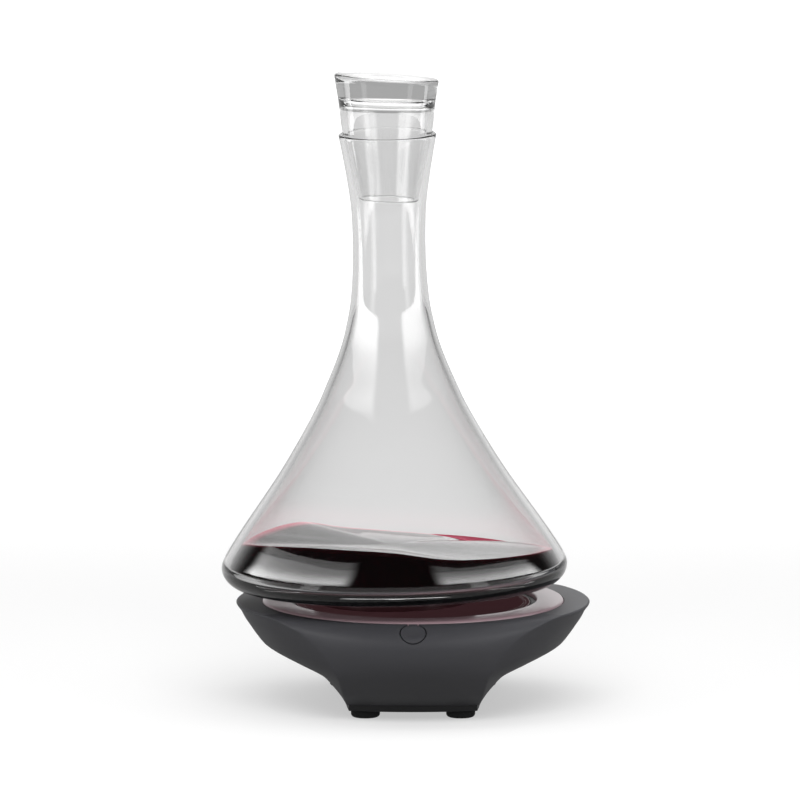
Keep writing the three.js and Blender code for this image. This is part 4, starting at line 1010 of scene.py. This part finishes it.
class DECANTER_OT_seat(PieceOperator, bpy.types.Operator):
    """Swirl disc, seat tray and seat pad"""

    bl_idname = "decanter.seat"
    bl_label = "Disc and seat"

    def execute(self, context):
        low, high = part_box("swirl_disc")
        radius = radius_of("swirl_disc")
        bottom = high.z - 3 * MM
        bevel, groove_depth, groove_width = 0.5 * MM, 0.5 * MM, 1.4 * MM
        groove = radius - 2.6 * MM
        hub_outside, hub_inside = 20 * MM, 14 * MM
        profile = [
            (hub_outside, low.z + 4 * MM),
            (hub_outside, bottom),
            (radius - bevel, bottom),
            (radius, bottom + bevel),
            *corner(radius - bevel, high.z - bevel, bevel, 0, 90, 4),
            (groove, high.z),
            (groove, high.z - groove_depth),
            (groove - groove_width, high.z - groove_depth),
            (groove - groove_width, high.z),
            (hub_inside, high.z),
            (hub_inside, low.z + 4 * MM),
        ]
        mesh = turned_mesh("disc", profile, base_place(), 240)
        disc = new_piece("disc", mesh, "swirl_drive")
        # Painted light: disc and tray glow and are tinted red, standing in for the light that comes down
        # through wine and acrylic into the well.
        dress(disc, moulded_abs("moulded_disc_abs", colours().disc, 0.3, 0.3))
        self.seat()
        return {"FINISHED"}

    def seat(self):
        """The tray that rides on the pin, and the pad under the glass."""
        place = seat_place()
        segments = 192
        radius, wall, plate = 48.5 * MM, 2.4 * MM, 3 * MM
        bevel, edge = 0.3 * MM, 1.2 * MM
        pad_radius, pad_thickness, pad_edge = 46.5 * MM, 2.2 * MM, 0.9 * MM
        top = sizes().glass_bottom + 1.2 * MM
        pad_low = top - pad_thickness
        tray_top = pad_low - 0.3 * MM
        tray_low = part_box("swirl_disc")[1].z + radius * tan(sizes().lean) + 0.5 * MM
        tray_profile = [
            (0, tray_top - plate),
            (radius - wall, tray_top - plate),
            (radius - wall, tray_low),
            (radius - bevel, tray_low),
            (radius, tray_low + bevel),
            *corner(radius - edge, tray_top - edge, edge, 0, 90),
            (0, tray_top),
        ]
        mesh = turned_mesh("tray_shell", tray_profile, place, segments)
        tray = new_piece("tray_shell", mesh, "seat")
        # Painted glow and red tint, as on the disc.
        dress(tray, moulded_abs("moulded_tray_abs", colours().tray, 0.3, 0.3))
        pad_profile = [
            (0, pad_low),
            (pad_radius, pad_low),
            *corner(pad_radius - pad_edge, top - pad_edge, pad_edge, 0, 90),
            (0, top),
        ]
        mesh = turned_mesh("pad", pad_profile, place, segments)
        pad = new_piece("pad", mesh, "seat", ["seat_pad"])
        dress(pad, moulded_rubber("moulded_silicone", SILICONE, 0.6))


class DECANTER_OT_glass(PieceOperator, bpy.types.Operator):
    """Glass decanter"""

    bl_idname = "decanter.glass"
    bl_label = "Glass decanter"

    def execute(self, context):
        s = sizes()
        outer = [tuple(p) for p in outer_line()]
        inner = [tuple(p) for p in inner_line(0)]
        (out_r, lip_z), (in_r, _) = outer[-1], inner[-1]
        middle, half = (out_r + in_r) / 2, (out_r - in_r) / 2
        rise = s.glass_bottom + s.glass_height - lip_z
        lip = []
        for degrees in range(15, 180, 15):
            angle = radians(degrees)
            lip.append((middle + half * cos(angle), lip_z + rise * sin(angle)))
        punt = s.glass_bottom + 1.5 * MM
        profile = [
            (0, punt),
            (80 * MM, punt),
            (82 * MM, s.glass_bottom + 0.9 * MM),
            (84 * MM, s.glass_bottom),
            *outer,
            *lip,
            *reversed(inner),
            (0, s.glass_bottom + s.floor_thickness),
        ]
        mesh = turned_mesh("decanter_glass", profile, seat_place(), 200, GLASS_SHARP)
        glass = new_piece("decanter_glass", mesh, "decanter", ["glass_decanter"])
        dress(glass, soda_glass("blown_soda_glass", colours().glass))
        return {"FINISHED"}


class DECANTER_OT_wine(PieceOperator, bpy.types.Operator):
    """Red wine with its swirl wave"""

    bl_idname = "decanter.wine"
    bl_label = "Wine"

    def execute(self, context):
        s = sizes()
        columns, climb, surface = 160, 14, 16
        gap, film = 0.3 * MM, 5 * MM
        wall = [(p.y, p.x) for p in inner_line(gap)]
        corner_count = len([1 for z, _ in wall if z < wall_line(gap)[0].y])
        turns = [i / columns if i <= columns / 2 else i / columns - 1 for i in range(columns)]
        edges = [wine_edge(t) for t in turns]
        middle_z = s.glass_bottom + s.wine_level
        rings, thin_backlit = [], []

        def ring_of(radii, heights, thin_backlit_values):
            rings.append([around(2 * pi * t, r, z) for t, r, z in zip(turns, radii, heights)])
            thin_backlit.extend(thin_backlit_values)

        # Painted backlight: the far edge is made brighter than the near one, as if light shone through it
        # from behind.
        lit = [0.3 + 0.35 * (1 - cos(2 * pi * turn)) for turn in turns]

        def thin_backlit_at(i, z):
            return lit[i] * max(0.0, 1 - (edges[i] - z) / film) ** 2

        for z, radius in wall[: corner_count + 1]:
            ring_of([radius] * columns, [z] * columns, [thin_backlit_at(i, z) for i in range(columns)])
        start = wall[corner_count][0]
        for step in range(1, climb + 1):
            share = 1 - (1 - step / climb) ** 1.5
            heights = [start + (edge - start) * share for edge in edges]
            thin_backlit_values = [thin_backlit_at(i, z) for i, z in enumerate(heights)]
            ring_of([between(wall, z) for z in heights], heights, thin_backlit_values)
        for step in range(surface - 1, 0, -1):
            share = step / surface
            heights = [middle_z + (edge - middle_z) * share**1.6 for edge in edges]
            radii = [share * between(wall, edge) for edge in edges]
            # The painted backlight covers the film's outer fifth.
            ring_of(radii, heights, [max(0.0, (share - 0.8) / 0.2) * level for level in lit])
        mesh = skin_mesh("wine_pool", rings, seat_place(), sharp_degrees=40)
        mesh.attributes.new("thin_backlit", "FLOAT", "POINT").data.foreach_set("value", thin_backlit)
        pool = new_piece("wine_pool", mesh, "decanter", ["wine"])
        dress(pool, red_wine("red_wine", colours().wine_deep, colours().wine_edge))
        return {"FINISHED"}


class DECANTER_OT_stopper(PieceOperator, bpy.types.Operator):
    """Glass stopper with its slanted face and hollow plug"""

    bl_idname = "decanter.stopper"
    bl_label = "Stopper"

    def execute(self, context):
        s = sizes()
        top = s.glass_bottom + s.glass_height + s.stopper_exposed
        foot = top - s.stopper_height
        seat_radius = wall_line(0)[-1].x - 0.3 * MM
        foot_radius = s.neck_radius - 3 * MM - 0.8 * MM
        seat_z = top - s.stopper_exposed
        waist_z = foot + 0.787 * s.stopper_height
        wall, foot_wall, edge = 3 * MM, 1.6 * MM, 1.6 * MM
        top_radius = seat_radius + 4.6 * MM
        hollow = top - 11 * MM
        shoulder = hollow - 9 * MM
        bends = [
            (foot_radius, foot + 0.8 * MM),
            (seat_radius, seat_z),
            (seat_radius + 2.35 * MM, waist_z),
            (top_radius, top - edge),
        ]
        # A point close after each rounded foot keeps the smooth shading of the long wall straight.
        support = 0.1
        side = curve_through(bends, PROFILE_STEPS)
        side.insert(1, side[0].lerp(side[1], support))
        hollow_radius = between([(z, r) for r, z in bends], shoulder) - wall
        inside = curve_through(
            [
                (foot_radius - foot_wall, foot + 0.6 * MM),
                (seat_radius - wall, seat_z),
                (hollow_radius, shoulder),
                (hollow_radius - 0.8 * MM, hollow - 4.5 * MM),
                (hollow_radius - 3 * MM, hollow - 1.6 * MM),
                (hollow_radius / 2, hollow - 0.4 * MM),
                (0, hollow),
            ],
            6,
        )
        inside.insert(1, inside[0].lerp(inside[1], support))
        foot_round = corner(foot_radius - foot_wall / 2, foot + 0.8 * MM, foot_wall / 2, 180, 360, 8)
        profile = [
            *[tuple(p) for p in reversed(inside)],
            *foot_round[1:-1],
            *[tuple(p) for p in side],
            *corner(top_radius - edge, top - edge, edge, 0, 90)[1:],
            (top_radius * 0.6, top),
            (0, top),
        ]
        profile[0] = (0, hollow)
        middle = (foot + waist_z) / 2
        # Slopes of the slanted face, the slanted foot and the face's lean to the back
        top_slope, foot_slope, back_slope = [tan(radians(a)) for a in (4.5, 3.5, 3.2)]

        def slant(v):
            above = max(0.0, (v.z - middle) / (top - middle)) ** 2
            below = max(0.0, (middle - v.z) / (middle - foot)) ** 2
            slope = top_slope * above + foot_slope * below
            back = back_slope * above
            return Vector((v.x, v.y, v.z - v.x * slope - v.y * back))

        mesh = turned_mesh("stopper_glass", profile, seat_place(), 160, GLASS_SHARP, slant)
        stopper = new_piece("stopper_glass", mesh, "stopper", ["glass_stopper"])
        dress(stopper, soda_glass("pressed_soda_glass", colours().glass))
        return {"FINISHED"}


class DECANTER_OT_inner(PieceOperator, bpy.types.Operator):
    """Finishes of the solids that no piece replaces"""

    bl_idname = "decanter.inner"
    bl_label = "Inner parts"

    def execute(self, context):
        c = colours()
        finishes = {
            "black_abs": moulded_abs("moulded_black_abs", c.cover, 0.45),
            "charcoal_abs": bpy.data.materials["moulded_charcoal_abs"],
            # Painted glow and red tint, as on the disc.
            "dark_plastic": moulded_abs("moulded_dark_abs", c.disc, 0.3, 0.4),
            "foot_rubber": moulded_rubber("plain_rubber", c.rubber),
            "silicone": moulded_rubber("plain_silicone", SILICONE, 0.6),
            "steel": machined_metal("drawn_steel", "#B9BCC0", 0.3),
            "bronze": machined_metal("sintered_bronze", "#B58B4C", 0.4),
            "acetal": moulded_abs("moulded_acetal", "#E9E6DC", 0.45),
            "green_board": solder_mask("green_solder_mask", "#1F5A3A", "#2F7A50"),
            "white_board": solder_mask("white_solder_mask", "#EFEEE8", "#DAD8CE"),
            # Painted glow and pink tint, as on the ring.
            "frosted_acrylic": frosted_acrylic("plain_acrylic", c.ring),
            "clear_glass": soda_glass("plain_glass", c.glass),
            "red_wine": red_wine("plain_wine", c.wine_deep, c.wine_edge),
        }
        slots = {part["node"]: part["material_slot"] for part in frame["record"]["subparts"]}
        for name, solid in frame["nodes"].items():
            if name not in slots:
                raise RuntimeError(f"{name} has no finish in the record")
            dress(solid, finishes[slots[name]])
        return {"FINISHED"}


class DECANTER_PT_panel(bpy.types.Panel):
    """Lists the operators and the values they use"""

    bl_idname = "DECANTER_PT_panel"
    bl_label = "Decanter"
    bl_space_type = "VIEW_3D"
    bl_region_type = "UI"
    bl_category = "Decanter"

    def draw(self, context):
        for group in (sizes(), base(), colours()):
            box = self.layout.box()
            for name in group.bl_rna.properties.keys():
                if name not in ("rna_type", "name"):
                    box.prop(group, name)
        for operator in OPERATORS:
            self.layout.operator(operator.bl_idname)


GROUPS = (DecanterSizes, BaseSizes, Colours)
OPERATORS = (
    DECANTER_OT_stage,
    DECANTER_OT_housing,
    DECANTER_OT_feet,
    DECANTER_OT_ring,
    DECANTER_OT_seat,
    DECANTER_OT_glass,
    DECANTER_OT_wine,
    DECANTER_OT_stopper,
    DECANTER_OT_inner,
)


def register():
    for group in (*GROUPS, *OPERATORS, DECANTER_PT_panel):
        bpy.utils.register_class(group)
    bpy.types.Scene.decanter_sizes = PointerProperty(type=DecanterSizes)
    bpy.types.Scene.decanter_base = PointerProperty(type=BaseSizes)
    bpy.types.Scene.decanter_colours = PointerProperty(type=Colours)


def unregister():
    del bpy.types.Scene.decanter_colours
    del bpy.types.Scene.decanter_base
    del bpy.types.Scene.decanter_sizes
    for group in reversed((*GROUPS, *OPERATORS, DECANTER_PT_panel)):
        bpy.utils.unregister_class(group)


def main():
    register()
    for operator in OPERATORS:
        group, name = operator.bl_idname.split(".")
        getattr(getattr(bpy.ops, group), name)()


if __name__ == "__main__":
    main()
